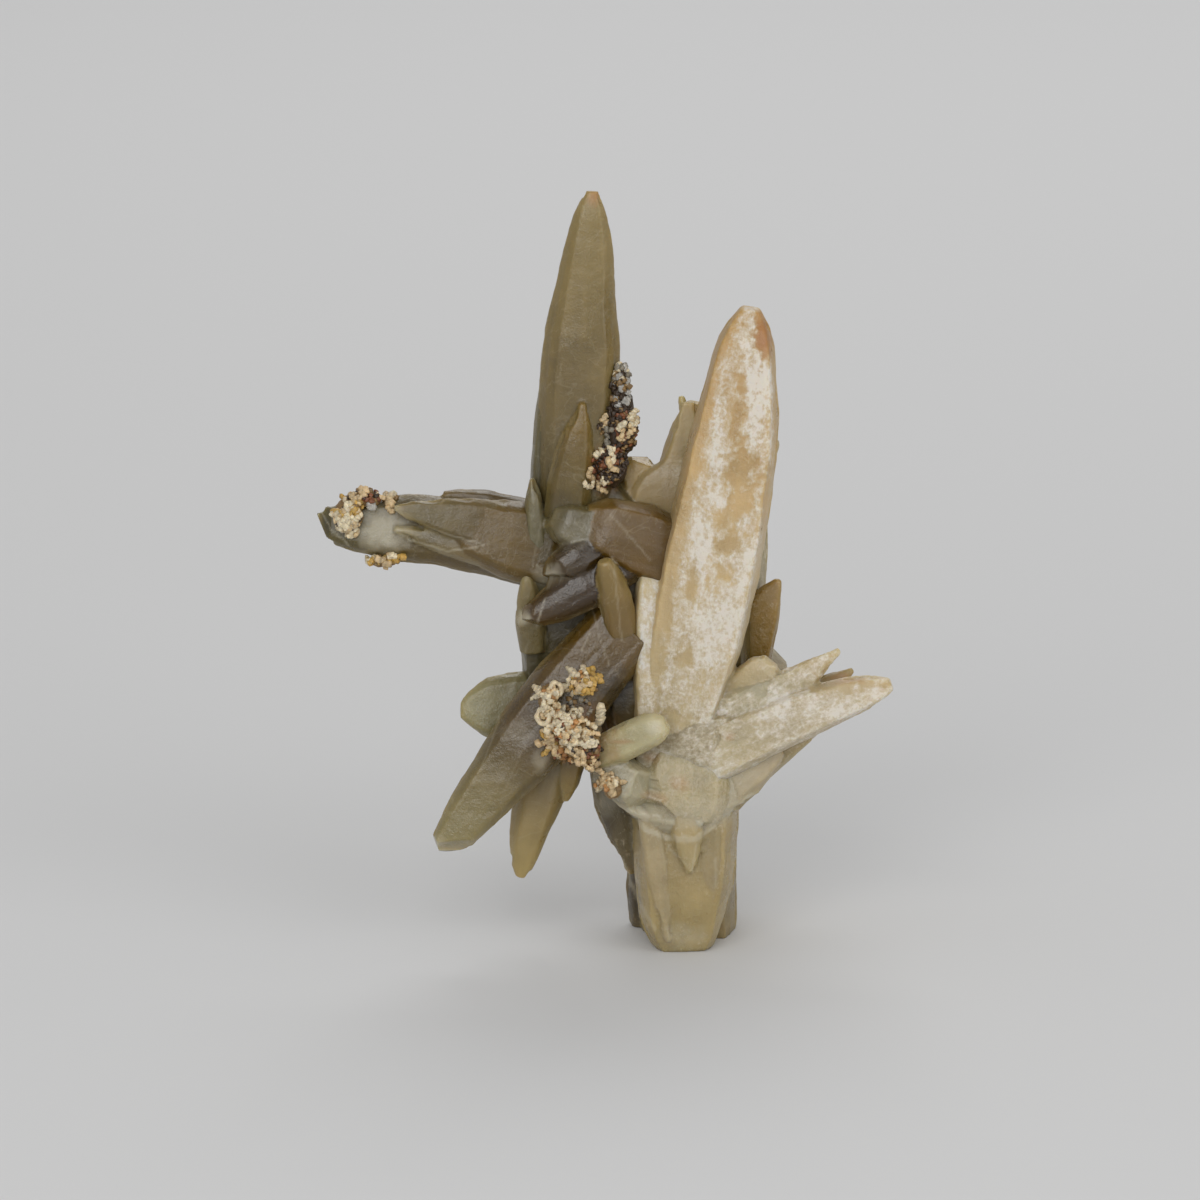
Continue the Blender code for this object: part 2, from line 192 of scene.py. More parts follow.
# piece: its blades, each name: root, end (across, up, back), scale of its half widths, depth,
# half widths, flat part of its face, and its colours at the root, the middle and the end
BLADES = {
    "spire_crystals": {
        # the spire is painted darker towards its root: painted shade, as less light passes through its lower
        # half
        "spire": ((-18.9, 63.5, 12), (-15.7, 121.8, 11), 1, 7.8, SPIRE, 0.35, "423a1f 77653a 877546"),
        "spire_left_growth": ((-24, 66.7, 13), (-22.9, 95, 12.5), 1.7, 6, SPEAR, 0.4, "4b452a 554d2f 695e39"),
        "spire_right_growth": ((-14.4, 76, 12.5), (-12, 102, 12), 1.7, 6, SPEAR, 0.4, "5c5230 675934 786a3c"),
        "spire_leaf": ((-19.8, 69.9, 8), (-17.1, 88.3, 6.8), 1, 5, SPIRE_LEAF, 0.35, "5b4e26 635122 785f22"),
        "fork_right": ((-5, 61, 15), (1.2, 88.6, 15), 4.0, 7, STUB, 0.5, "8e7647 a48653 b49c63"),
        "fork_plate": ((-2, 60, 12.2), (-0.2, 88.6, 12.2), 1, 5, FORK_PLATE, 0.6, "8a764d 99855d ae9b70"),
        "fork_left": ((-3, 64, 14.5), (-9.8, 80.8, 14), 3.6, 7, STUB, 0.5, "836c41 937945 a58c53"),
        "fork_hook": ((-0.6, 84, 14), (-1.4, 89.6, 13.5), 0.55, 1.2, STUB, 0.5, "998d60 a99b6e b5a87a"),
        "back_spire": ((-13, 58, 16), (-16.6, 102, 17), 3.8, 8, SPEAR, 0.45, "564c31 685a38 7d6c46"),
        # heart_upper is dark brown: painted shade for the core seen in the gaps between the front blades
        "heart_upper": ((-5, 42, 13.5), (-14.6, 75, 12.5), 8.6, 13, STUB, 0.5, "4b3f1d 544621 564924"),
    },
    "arm_crystals": {
        "arm": ((-20, 65.9, 12), (-61.1, 69.8, 10), 1, 6.8, ARM, 0.4, "4d3b12 544318 554d22"),
        "arm_front_leaf": ((-22, 66, 8.7), (-47.2, 71.8, 7.0), 1, 4, ARM_LEAF, 0.45, "55461d 5d4c23 65592d"),
        "arm_lower_leaf": ((-24, 62.5, 8.4), (-47, 68.4, 7.6), 2.2, 3.5, LEAF, 0.4, "675834 6f5f3c 7a6e48"),
        "arm_shoulder": ((-17, 63.5, 10.5), (-37.8, 69.5, 8.6), 6.2, 7, STUB, 0.45, "564211 5c4713 624c16"),
        "arm_top_leaf": ((-25, 71, 14), (-39.6, 73.6, 13), 2.1, 4, STUB, 0.4, "554219 5c491e 675325"),
    },
    "heart_crystals": {
        # the heart blades are dark brown: painted shade for the core seen in the gaps between the front blades
        "heart_lower": ((-3, 25, 14), (-9, 58, 12), 8.6, 15, STUB, 0.5, "483a1b 4f411e 554722"),
        "heart_right": ((1.4, 28, 17), (2, 76, 18), 8.4, 19, STUB, 0.5, "594a22 594a22 67562a"),
        "waist": ((-15, 34, 12), (-20, 66, 11.5), 6.6, 7, STUB, 0.5, "463a1d 4f4423 534826"),
        "waist_sliver": ((-23.8, 57, 10), (-25.2, 76.5, 8.5), 2.0, 6, SPEAR, 0.3, "585137 665e40 756d50"),
        "waist_left": ((-23.8, 40, 13), (-25.4, 62, 11), 2.5, 8, STUB, 0.4, "494126 4f472b 584f2f"),
        "waist_leaf": ((-25.2, 49, 8.5), (-26.1, 61.6, 6.5), 2.3, 4, LEAF, 0.35, "665a38 756741 85764d"),
        "shoulder_grey": ((-11, 66, 9), (-22.4, 70.6, 6.5), 4.2, 9.5, STUB, 0.45, "554a2c 594f2f 655b39"),
        "shoulder_brown": ((1.5, 62.5, 10), (-17.2, 70.2, 6), 5.9, 11, STUB, 0.5, "553f0d 5c430e 634a15"),
        "brow_upper": ((-14, 66, 6), (-24.2, 60, 2.5), 3.3, 7, SPEAR, 0.25, "322206 372607 4c390f"),
        "brow_long": ((-9, 63.5, 6), (-28, 53, 2), 3.6, 7, SPEAR, 0.25, "312004 372406 4d360c"),
        "heart_leaf": ((-9.4, 45.5, 7), (-13.6, 63.4, 0.4), 1, 5, HEART_LEAF, 0.3, "68542b 715b30 7e6937"),
    },
    "toe_crystals": {
        "big_toe": ((-10.4, 53.1, 6), (-40.4, 15.4, -1), 1, 8.0, BIG_TOE, 0.45, "5b4518 513e17 978b5d"),
        "tooth": ((-20.8, 38.7, 11), (-27.2, 12.6, 8), 1, 6, TOOTH, 0.3, "72623a 8c794e 9b8854"),
        "tooth_right": ((-18.6, 36, 10), (-19.8, 24.8, 8.5), 2.3, 5, LEAF, 0.3, "745f34 897240 957f48"),
        "left_lobe": ((-22, 39, 11), (-36.7, 39.2, 8), 1.15, 4.5, LOBE, 0.5, "6c6542 7a714c 8b845c"),
    },
    "white_coated_crystals": {
        "white_blade": ((-2.9, 29.9, 9), (9.3, 103.4, 9.5), 1, 17, WHITE_BLADE, 0.78, "b3a581 bca274 b28e55"),
        "white_finger": ((-6.3, 33, 7), (-6.6, 64.4, 5.5), 2.6, 8, STUB, 0.5, "ad9c75 b29e74 c0af89"),
        "white_root": ((-8, 31.5, 7), (10, 36.5, 5.5), 4.6, 9, STUB, 0.5, "877a5b 8d8061 918567"),
        "blade_knob": ((11.4, 79, 12), (13.6, 82.8, 12), 1.2, 3, STUB, 0.5, "a08e68 a89670 b2a179"),
        "right_fin": ((8, 38, 16), (14.2, 60.4, 15), 1, 5, RIGHT_FIN, 0.5, "765c23 7b6024 896d2d"),
        "arm_plate": ((6, 39, 8), (12.8, 47.4, 6), 3.3, 4, STUB, 0.6, "a8956c b09f78 b8a884"),
        "arm_right_upper": ((1.6, 33.9, 7), (23.8, 49.2, 5), 1.15, 6, UPPER_ARM, 0.5, "a0926f a0977a ad9767"),
        "arm_right_lower": ((2.4, 32, 6), (32, 43.8, 3), 1, 9, LOWER_ARM, 0.5, "a59873 ad9e7e b59f73"),
        "arm_right_back": ((9, 34, 14), (26, 46, 12), 2.6, 6, SPEAR, 0.4, "7b6a44 84734a 907f54"),
        "under_fin": ((-1, 24, 12), (19.5, 35.2, 11), 1, 13, UNDER_FIN, 0.4, "8a7a53 94845c a09068"),
    },
    "foot_crystals": {
        "belly": ((0.5, 40, 9.5), (-1.2, 18.7, 3), 0.88, 11.5, BELLY, 0.35, "9d8e6a a2946e ada07f"),
        "belly_rim": ((-10.5, 25, 4.4), (11, 27, 5), 1, 8, BELLY_RIM, 0.4, "a59a7e afa68c a99d80"),
        "foot_lath_left": ((-6.6, 23, 2.5), (-3.4, 2.4, 1.5), 1.9, 3, LEAF, 0.4, "9c8d6b a08f6b a4946f"),
        "foot_lath_right": ((3.4, 21, 2.3), (2.9, 5.4, 1.9), 1.6, 2.6, LEAF, 0.4, "96865f 9b8a65 a08f6b"),
        "lump_shard_low": ((-12.6, 28, 1.4), (-6.6, 22.2, 1.3), 1.7, 3, SPEAR, 0.3, "857c6a a0977f b5ad98"),
        "lump_shard_high": ((-13, 30.6, 1.4), (-5.6, 26.2, 0.7), 1.9, 3, SPEAR, 0.3, "8a816e a59c85 bab29c"),
        "belly_wing": ((-4, 24, 6.5), (14.5, 33.5, 6.5), 1, 7, BELLY_WING, 0.5, "a08f6e a5987a a99a7c"),
        "green_leaf": ((-14.9, 32.4, 1.5), (-3.9, 37.6, -2), 1.22, 4, PALE_LEAF, 0.35, "a09770 aea57f bdb591"),
        "clear_lump": ((-13.6, 31, 4), (-5.4, 24.4, 0), 3.5, 8, STUB, 0.4, "7f765e 91896d a8a186"),
        "foot": ((-1.8, 31, 11), (-0.2, -3, 6.5), 1, 17, FOOT, 0.5, "958258 a08d61 9d8b5b"),
        "foot_behind": ((-1, 34, 18), (-0.2, -3, 18), 1, 16, BACK_FOOT, 0.5, "816f47 877651 867449"),
        "foot_leaf": ((-0.9, 24, 1.2), (0, 13.6, 0.3), 2.4, 2.6, LEAF, 0.3, "a08d62 a69469 b09f73"),
        "foot_fin_upper": ((-13.2, 33, 11), (-9.2, 13, 12), 3.7, 4, LEAF, 0.4, "4c432c 5c5137 6b5f40"),
        # foot_fin_lower is dark: painted shade, as it stands back in the shadow at the foot's lower left
        "foot_fin_lower": ((-6.2, 20, 18), (-7.6, 3, 19.5), 3.0, 7, STUB, 0.4, "49412b 564a32 64573b"),
    },
    "back_crystals": {
        "back_blade": ((2, 32, 21), (8.4, 93, 25), 7.6, 17, SPEAR, 0.5, "7d6d46 8b7c52 928052"),
        "back_spray_high": ((4, 50, 22), (9.6, 84, 42), 6.0, 12, SPEAR, 0.45, "6f5f39 7e6d42 89794a"),
        "back_spray_leaf": ((2, 52, 24), (4.6, 74, 38), 3.4, 7, LEAF, 0.4, "685935 75643d 837245"),
        "back_right": ((5, 40, 20), (11, 47.6, 48), 7.2, 16, SPEAR, 0.45, "70603c 7d6c44 88784f"),
        "back_right_leaf": ((8, 42, 20), (12.4, 56, 36), 3.6, 6, LEAF, 0.4, "75643d 817044 8d7c4c"),
        "back_arm": ((3, 33.6, 18), (25.5, 42.2, 34), 6.0, 17, SPEAR, 0.4, "7d6c46 897a53 96865d"),
        "back_arm_low": ((2, 31, 17), (21.5, 39, 26), 4.8, 11, SPEAR, 0.4, "78663d 837147 8f7d50"),
        "back_low_right": ((4, 32, 18), (6, 31.5, 38), 5.2, 13, STUB, 0.4, "6d5e39 7a6943 85764d"),
    },
    "back_left_crystals": {
        "back_left": ((-8, 47, 16), (-19, 52, 33), 4.0, 7, SPEAR, 0.4, "574c2f 645737 756744"),
        "back_left_leaf": ((-6, 44, 17), (-12, 44, 36), 3.4, 6, LEAF, 0.4, "5d5134 6b5e3c 7b6d48"),
        "back_upper": ((-7, 58, 16), (-9, 75, 32), 4.4, 8, STUB, 0.4, "5b4e2f 685a39 786946"),
        "back_low_left": ((-4, 34, 18), (-8, 27, 32), 4.2, 8, STUB, 0.4, "594e30 665939 746744"),
    },
}

# How much of the chalky skin a blade carries, from 0 to 1; the others are bare
CHALK = {
    "white_blade": 0.72, "white_finger": 0.7, "white_root": 0.56, "arm_plate": 0.45,
    "arm_right_upper": 0.65, "arm_right_lower": 0.68, "belly": 0.3, "under_fin": 0.25,
    "back_blade": 0.45, "back_arm": 0.5, "back_arm_low": 0.4, "back_right": 0.3,
}

# Places on the chalky blades, as the front view shows them (across, up), with half width, half
# height and how much the chalk gains (above 0) or lacks (below 0) there
CHALK_PATCHES = (
    ((10.4, 92.6), 1.9, 7.4, 0.4), ((4.2, 77.9), 1.1, 8, 0.3), ((1.6, 65.4), 1.4, 4.2, 0.35),
    ((8.3, 63.5), 1.4, 3.8, 0.35), ((4.8, 53.1), 5.4, 5.4, 0.2), ((-8, 53.9), 1, 6.4, 0.25),
    ((7.8, 91.7), 0.8, 1.4, -0.8), ((7.7, 86.7), 1, 1.4, -0.7), ((7.5, 82.7), 1.1, 1.6, -0.8),
    ((7.7, 77.3), 2.1, 3.5, -1.0), ((8, 72.5), 1.6, 2.2, -0.9), ((5.1, 69.9), 1.8, 1.6, -0.7),
    ((6.1, 66.1), 1.6, 1.9, -0.7), ((0, 59.4), 1, 2.6, -0.7), ((5.4, 61.4), 1.3, 1.3, -0.5),
    ((-0.6, 47.8), 1.3, 1.4, -0.6), ((-5.1, 46.6), 1, 1.3, -0.6), ((11.5, 99.2), 1.4, 3.5, -1.2),
    ((-3.8, 56), 0.6, 3.5, -0.8), ((12, 72.3), 0.8, 4.8, -0.7), ((-2.4, 38.1), 2.6, 1.9, -0.5),
    ((9.9, 44), 2.7, 2.6, -0.8), ((23.4, 43.7), 4.8, 1, -0.7), ((8.8, 34.4), 4.2, 2.2, -0.3),
    ((20.8, 39.2), 5.4, 1.9, 0.2), ((13.6, 41.1), 2.2, 1.9, 0.25),
)

# Where the stone is milky, rust brown or dark, the dark partly smoky stone and partly painted shade in gaps
# and recesses: the place, half width, half height and how much
STAINS = {
    "milky": (
        ((-49.1, 68.2), 3.4, 3.2, 0.55), ((-55, 69.9), 1.6, 1.4, 0.35), ((-40.5, 17.4), 1.3, 1.9, 0.35),
        ((-27.2, 36.3), 2.6, 1.6, 0.14), ((-23.8, 31.5), 1.1, 1.8, 0.25),
        ((-22.7, 61.1), 1.9, 1.4, 0.45), ((-26.7, 54.2), 1, 1, 0.6), ((-1, 3.2), 3.5, 1.8, 0.28),
        ((-13.3, 25.1), 1.6, 2.2, 0.25), ((-8, 25.1), 1.9, 2.6, 0.25), ((1.6, 23.2), 4.8, 2.2, 0.35),
        ((-5.6, 36.8), 1.1, 1, 0.4), ((-10.9, 27.4), 2.6, 2.2, 0.3), ((-18.4, 67.5), 2.6, 1.9, 0.15),
    ),
    "rusty": (
        ((11.4, 99), 1.3, 3.4, 0.9), ((-15.4, 120.8), 1, 1.1, 0.55), ((-51.5, 73.9), 1.8, 1.1, 0.6),
        ((-6.1, 32), 1.1, 0.8, 0.45), ((-1.8, 27.8), 1.4, 1.1, 0.4), ((-4.8, 25.3), 1, 0.8, 0.35),
        ((6.1, 35.4), 0.8, 0.6, 0.5), ((-11.2, 34.6), 1.9, 0.3, 0.5), ((-16, 35.5), 3.8, 4.2, 0.35),
        ((-12.5, 32.8), 1.3, 1.3, 0.3), ((-13.8, 77.9), 1.9, 2.9, 0.5), ((24.8, 44.6), 2.9, 0.8, 0.35),
    ),
    # dark places: partly smoky stone, partly painted shade, such as the gap in the heart, the recesses by the
    # brows, the spire's lower half and the shaded lower left of the foot
    "smoky_and_shade": (
        ((-18.4, 93.1), 3.8, 5.4, 0.22), ((-20.8, 69.9), 3.2, 4.2, 0.25),
        ((-11.8, 42.7), 2.4, 3.5, 0.7), ((-58.4, 69), 1.9, 1.4, 0.45), ((-20.8, 57.1), 3.5, 3.8, 0.25),
        ((-23.2, 41.1), 4.2, 2.2, 0.2), ((-13.4, 20.3), 1.1, 4.2, 0.5), ((-9.3, 8.3), 1.3, 2.9, 0.5),
        ((-40, 66.7), 6.4, 1.1, 0.25), ((-12.2, 75.2), 2.2, 1.6, 0.5), ((1.1, 28.3), 1.9, 1.3, 0.15),
        ((-17, 39.2), 2.4, 1.9, 0.5), ((-32.8, 74.1), 6.4, 1.1, 0.25),
    ),
}

# Pale healed cracks, scratches and edges: from, to, width and how milky
SCRATCHES = (
    ((-46.7, 71.5), (-44.5, 69.3), 0.24, 0.33), ((-44.5, 69.3), (-40.5, 68.2), 0.24, 0.28),
    ((-40.5, 68.2), (-32.8, 65.9), 0.24, 0.28), ((-44.8, 66.7), (-38.7, 64.8), 0.24, 0.33),
    ((-38.7, 64.8), (-33.9, 65.6), 0.24, 0.28), ((-15.8, 52), (-17.4, 49.1), 0.2, 0.33),
    ((-15.7, 55.7), (-13, 46.7), 0.2, 0.22), ((-23, 57.4), (-24.6, 53), 0.24, 0.33),
    ((-24.5, 62.6), (-21, 59.8), 0.28, 0.39), ((-9.8, 23.5), (-7, 20.5), 0.56, 0.39),
    ((-7, 20.5), (-3.7, 19.2), 0.56, 0.44), ((-3.7, 19.2), (0.6, 18.9), 0.64, 0.44),
    ((0.6, 18.9), (3, 20.5), 0.56, 0.44), ((3, 20.5), (5.8, 22.6), 0.56, 0.39),
    ((5.8, 22.6), (9.8, 25.9), 0.48, 0.33), ((-10.9, 15.2), (-8, 8.3), 0.4, 0.28),
    ((-8, 8.3), (-5.6, 4.3), 0.4, 0.28), ((4, 15.8), (4.2, 11.2), 0.32, 0.22),
    ((-3.5, 17.8), (0.3, 13.8), 0.28, 0.28), ((1.1, 18.2), (0.3, 13.8), 0.28, 0.28),
    ((-25.6, 50.7), (-33.6, 29.9), 0.24, 0.12), ((-20.8, 46.7), (-29.6, 26.7), 0.2, 0.11),
    ((-60.2, 71), (-54.4, 65.9), 0.28, 0.28), ((-12.3, 63.5), (-10.9, 50.7), 0.24, 0.19),
    ((-23.2, 72.3), (-25.3, 61.9), 0.24, 0.14), ((-12.8, 70.7), (-6.4, 63.5), 0.24, 0.17),
    ((-9.1, 29.9), (-4.8, 25.1), 0.4, 0.28), ((-12.5, 30.9), (-6.4, 29.1), 0.4, 0.28),
)

# Blades whose end is broken off, and how far back the break reaches, in mm
BROKEN = {
    "arm": 3.4, "big_toe": 4.2, "brow_upper": 3.0, "brow_long": 4.0, "belly": 2.6, "clear_lump": 3.0,
    "back_left": 2.2, "back_low_right": 3.0, "fork_left": 1.2,
}

# Blades with ragged edges: how many times the usual number of chips
RAGGED = {
    "arm": 3, "foot_fin_upper": 4, "foot_fin_lower": 4, "fork_right": 2, "arm_right_upper": 3,
    "brow_upper": 2, "brow_long": 2, "belly": 3, "clear_lump": 3, "arm_top_leaf": 3, "foot": 3,
    "belly_rim": 4, "belly_wing": 2, "arm_front_leaf": 2, "arm_right_lower": 2, "white_blade": 2,
    "foot_behind": 3,
}

# Blades with glassy rather than waxy faces, from 0 to 1
GLASSY = {
    "belly": 0.6, "belly_wing": 0.6, "belly_rim": 0.7, "clear_lump": 0.9, "lump_shard_low": 1.0,
    "lump_shard_high": 1.0, "brow_upper": 0.6, "brow_long": 0.6, "big_toe": 0.4,
    "green_leaf": 0.4, "shoulder_grey": 0.4, "foot": 0.3,
}

# Colours of the crusts' grains; dark is partly the crust's own brown and partly painted shade in the hollows
# between grains
GRAIN_COLOURS = {
    "cream": "dccbaa", "sand": "cfb48a", "yellow": "c09a50", "orange": "b8854f", "rust": "7d4a2a",
    "dark": "3a2b1d", "grey": "8a8272", "honey": "84683f",
}

# Each crust, by the CAD node it stands for.
# lumps: middle (across, up, back), half sizes and the colour of the matrix under the grains
# fields: place in the front view, half width, half height, number of grains, their size and colours; these low
# grains and the matrix are mostly dark and rust, partly the crust's own rust and partly painted shade in the
# hollows under the ridges
# ridges: the same, for winding ridges of fused grains
# rows: grains in a line, from, to, number, size and colours
# rings: rolled edges of small hollow crystals: place, radius of the ring and of its rim, colour
# beads: clear drops: place, half width, half height
CRUSTS = {
    "druse_by_spire": {
        "lumps": (
            ((-10.9, 91, 9.6), (1.3, 3.6, 2.1), "dark"), ((-10.9, 85.2, 9.2), (2.5, 4.8, 2.4), "dark"),
            ((-12.4, 78.4, 8.4), (2.4, 3.2, 2.0), "dark"),
        ),
        "fields": (
            ((-9.4, 86.4), 1.3, 1.1, 20, 0.6, "dark rust"),
            ((-10.1, 83.4), 1.8, 2.4, 60, 0.6, "dark rust honey"),
            ((-13.6, 84.5), 1.3, 1.1, 24, 0.6, "dark honey"),
            ((-12.6, 80), 1.8, 1.8, 50, 0.6, "dark rust"),
            ((-14.7, 75.8), 2.1, 1, 30, 0.6, "dark rust honey"),
            ((-11.8, 90.7), 1.1, 2.2, 24, 0.8, "dark honey"),
            ((-11.7, 87.2), 1.4, 1.4, 20, 0.7, "dark"), ((-14.7, 78.7), 1.3, 1.9, 24, 0.7, "rust dark"),
            ((-11, 92.3), 1.3, 2.2, 26, 0.8, "grey honey cream"),
            ((-12.6, 79.2), 2.4, 3, 110, 0.6, "dark dark honey"),
            ((-10.4, 85.1), 1.9, 3.4, 60, 0.6, "dark rust honey"),
        ),
        "ridges": (
            ((-9.4, 86.6), 1.1, 1, 4, 0.85, "cream sand"),
            ((-10.1, 83.7), 1.4, 1.8, 5, 0.8, "cream sand"),
            ((-13.4, 84.5), 1.1, 1, 3, 0.85, "grey sand"),
            ((-12.5, 80.2), 1.4, 1.4, 5, 0.8, "cream sand"),
            ((-14.7, 76), 1.9, 0.8, 5, 0.7, "cream sand yellow"),
        ),
        "beads": (
            ((-10.6, 93.8), 0.55, 0.8), ((-11.2, 92.5), 0.6, 0.7), ((-10.2, 91.8), 0.5, 0.6),
            ((-11, 90.7), 0.55, 0.6), ((-10.1, 90.1), 0.5, 0.5), ((-11.7, 89.1), 0.6, 0.7),
            ((-10.4, 88.8), 0.8, 0.8), ((-11.4, 88), 0.6, 0.5), ((-9.8, 89.3), 0.4, 0.5),
            ((-10.7, 94.7), 0.4, 0.5), ((-12, 91.7), 0.4, 0.6),
        ),
    },
    "druse_front": {
        "lumps": (
            ((-22.6, 41, -2.7), (1.5, 3.0, 1.3), "honey"),
            ((-20.4, 37, -2.5), (3.0, 2.2, 1.5), "honey"), ((-17, 34, -2.3), (2.6, 3.6, 1.6), "honey"),
        ),
        "fields": (
            ((-18.7, 34.4), 4.0, 3.2, 84, 0.7, "rust honey dark"),
            ((-18.9, 36.3), 1.4, 1.3, 20, 0.6, "rust"),
            ((-20.8, 37.6), 2.0, 1.4, 30, 0.7, "rust honey sand"),
            ((-17.8, 40.2), 2.2, 1.8, 24, 0.7, "dark honey grey"),
            ((-15.7, 32.8), 1.6, 1.4, 26, 0.6, "rust dark"),
            ((-22.2, 40.8), 1.3, 2.9, 40, 0.7, "orange honey sand"),
            ((-15.7, 30.9), 1.4, 1, 16, 0.7, "honey rust"),
        ),
        "ridges": (
            ((-19.8, 34.4), 2.9, 2.6, 12, 0.75, "cream sand orange"),
            ((-20.5, 37.6), 1.9, 1.4, 9, 0.75, "cream"),
            ((-17, 35), 2.2, 2.2, 10, 0.8, "cream sand orange"),
            ((-21.4, 34.1), 1.4, 1.3, 7, 0.85, "yellow sand"),
            ((-22.1, 40.8), 1.1, 2.6, 8, 0.75, "cream sand"), ((-15.7, 31), 1.1, 0.6, 4, 0.75, "sand"),
        ),
        "rows": (
            ((-21.1, 40.5), (-20.2, 37.6), 9, 0.9, "cream"),
            ((-14.4, 40.3), (-14.7, 37.6), 10, 1.1, "cream"),
            ((-19.2, 38.2), (-17.6, 39.7), 8, 0.8, "cream"),
            ((-22.7, 36.6), (-21.4, 32.8), 10, 1.0, "sand cream"),
            ((-21.4, 32.5), (-17, 31.2), 12, 0.9, "sand orange"),
            ((-17.6, 38.6), (-15, 36.3), 9, 0.9, "cream sand"),
        ),
        "rings": (
            ((-21.6, 42.9), 1.0, 0.42, "cream"), ((-23.2, 38.7), 1.1, 0.42, "cream"),
            ((-18.4, 39), 0.8, 0.3, "cream"),
        ),
    },
    "druse_front_upper": {
        "lumps": (((-17.4, 44.2, -2.8), (1.7, 1.6, 1.1), "honey"),),
        "fields": (
            ((-17, 43.7), 2.1, 1.9, 50, 0.7, "honey orange yellow"),
            ((-17, 43.5), 1.3, 1.1, 14, 0.6, "dark rust"),
        ),
        "ridges": (
            ((-17, 43.8), 1.8, 1.6, 12, 0.85, "yellow sand"),
            ((-17.8, 44.8), 1.3, 0.8, 4, 0.8, "cream"),
        ),
    },
    "druse_on_lump": {
        "lumps": (((-12.4, 27, -2), (1.5, 1.4, 1.0), "honey"),),
        "fields": (((-13.4, 28), 1.6, 1.3, 34, 0.7, "honey orange"),),
        "ridges": (((-13.6, 28.2), 1.3, 1, 9, 0.8, "yellow cream sand"),),
    },
    "druse_on_arm": {
        "lumps": (
            ((-54.3, 70.8, 8), (2.4, 2.8, 2.0), "honey"),
            ((-51.6, 73.2, 9.4), (2.4, 1.3, 2.0), "honey"),
        ),
        "fields": (
            ((-54.4, 70.2), 1.8, 2.2, 60, 0.7, "honey sand dark"),
            ((-51.8, 73.8), 2.6, 1.1, 50, 0.7, "rust dark honey"),
            ((-48.3, 73.9), 1.8, 1.1, 30, 0.8, "sand honey"),
        ),
        "ridges": (
            ((-54.4, 69.9), 1.4, 1.3, 12, 0.85, "cream sand"),
            ((-52.2, 74.7), 2.2, 0.5, 8, 0.85, "cream sand"),
            ((-48.3, 74.1), 1.4, 0.8, 7, 0.95, "sand cream"),
            ((-54.1, 72.2), 1.3, 1.4, 7, 0.8, "cream yellow sand"),
        ),
        "beads": (((-50.9, 72.3), 0.9, 0.8),),
    },
    "druse_under_arm": {
        "lumps": (((-49.2, 63.4, 9.4), (2.0, 0.9, 1.8), "honey"),),
        "fields": (((-49, 63.4), 2.4, 0.6, 34, 0.7, "honey yellow"),),
        "ridges": (((-49, 63.5), 2.1, 0.5, 9, 0.85, "yellow sand cream"),),
    },
}


def seen(across, up, back):
    """The world point, in mm, that the tilted front view shows at (across, up) at this depth."""
    height = (up - back * math.sin(VIEW_TILT)) / math.cos(VIEW_TILT)
    return Vector((across, back - FOOT_MIDDLE_BACK, height))


def linear(code):
    """A linear colour from its sRGB hex value."""
    parts = [int(code[i:i + 2], 16) / 255 for i in (0, 2, 4)]
    return [part / 12.92 if part <= 0.04045 else ((part + 0.055) / 1.055) ** 2.4 for part in parts]


def rounded(values):
    """The same widths with the corners of their outline softened; the two ends stay."""
    soft = values.copy()
    soft[1:-1] = (values[:-2] + 2 * values[1:-1] + values[2:]) / 4
    return soft


def mesh_of(name, bm):
    """The mesh of a finished bmesh, which is then let go."""
    mesh = bpy.data.meshes.new(name)
    bm.to_mesh(mesh)
    bm.free()
    return mesh


def placed(name, data):
    """An object for a mesh, a light or a camera, in the scene."""
    made = bpy.data.objects.new(name, data)
    bpy.context.scene.collection.objects.link(made)
    return made


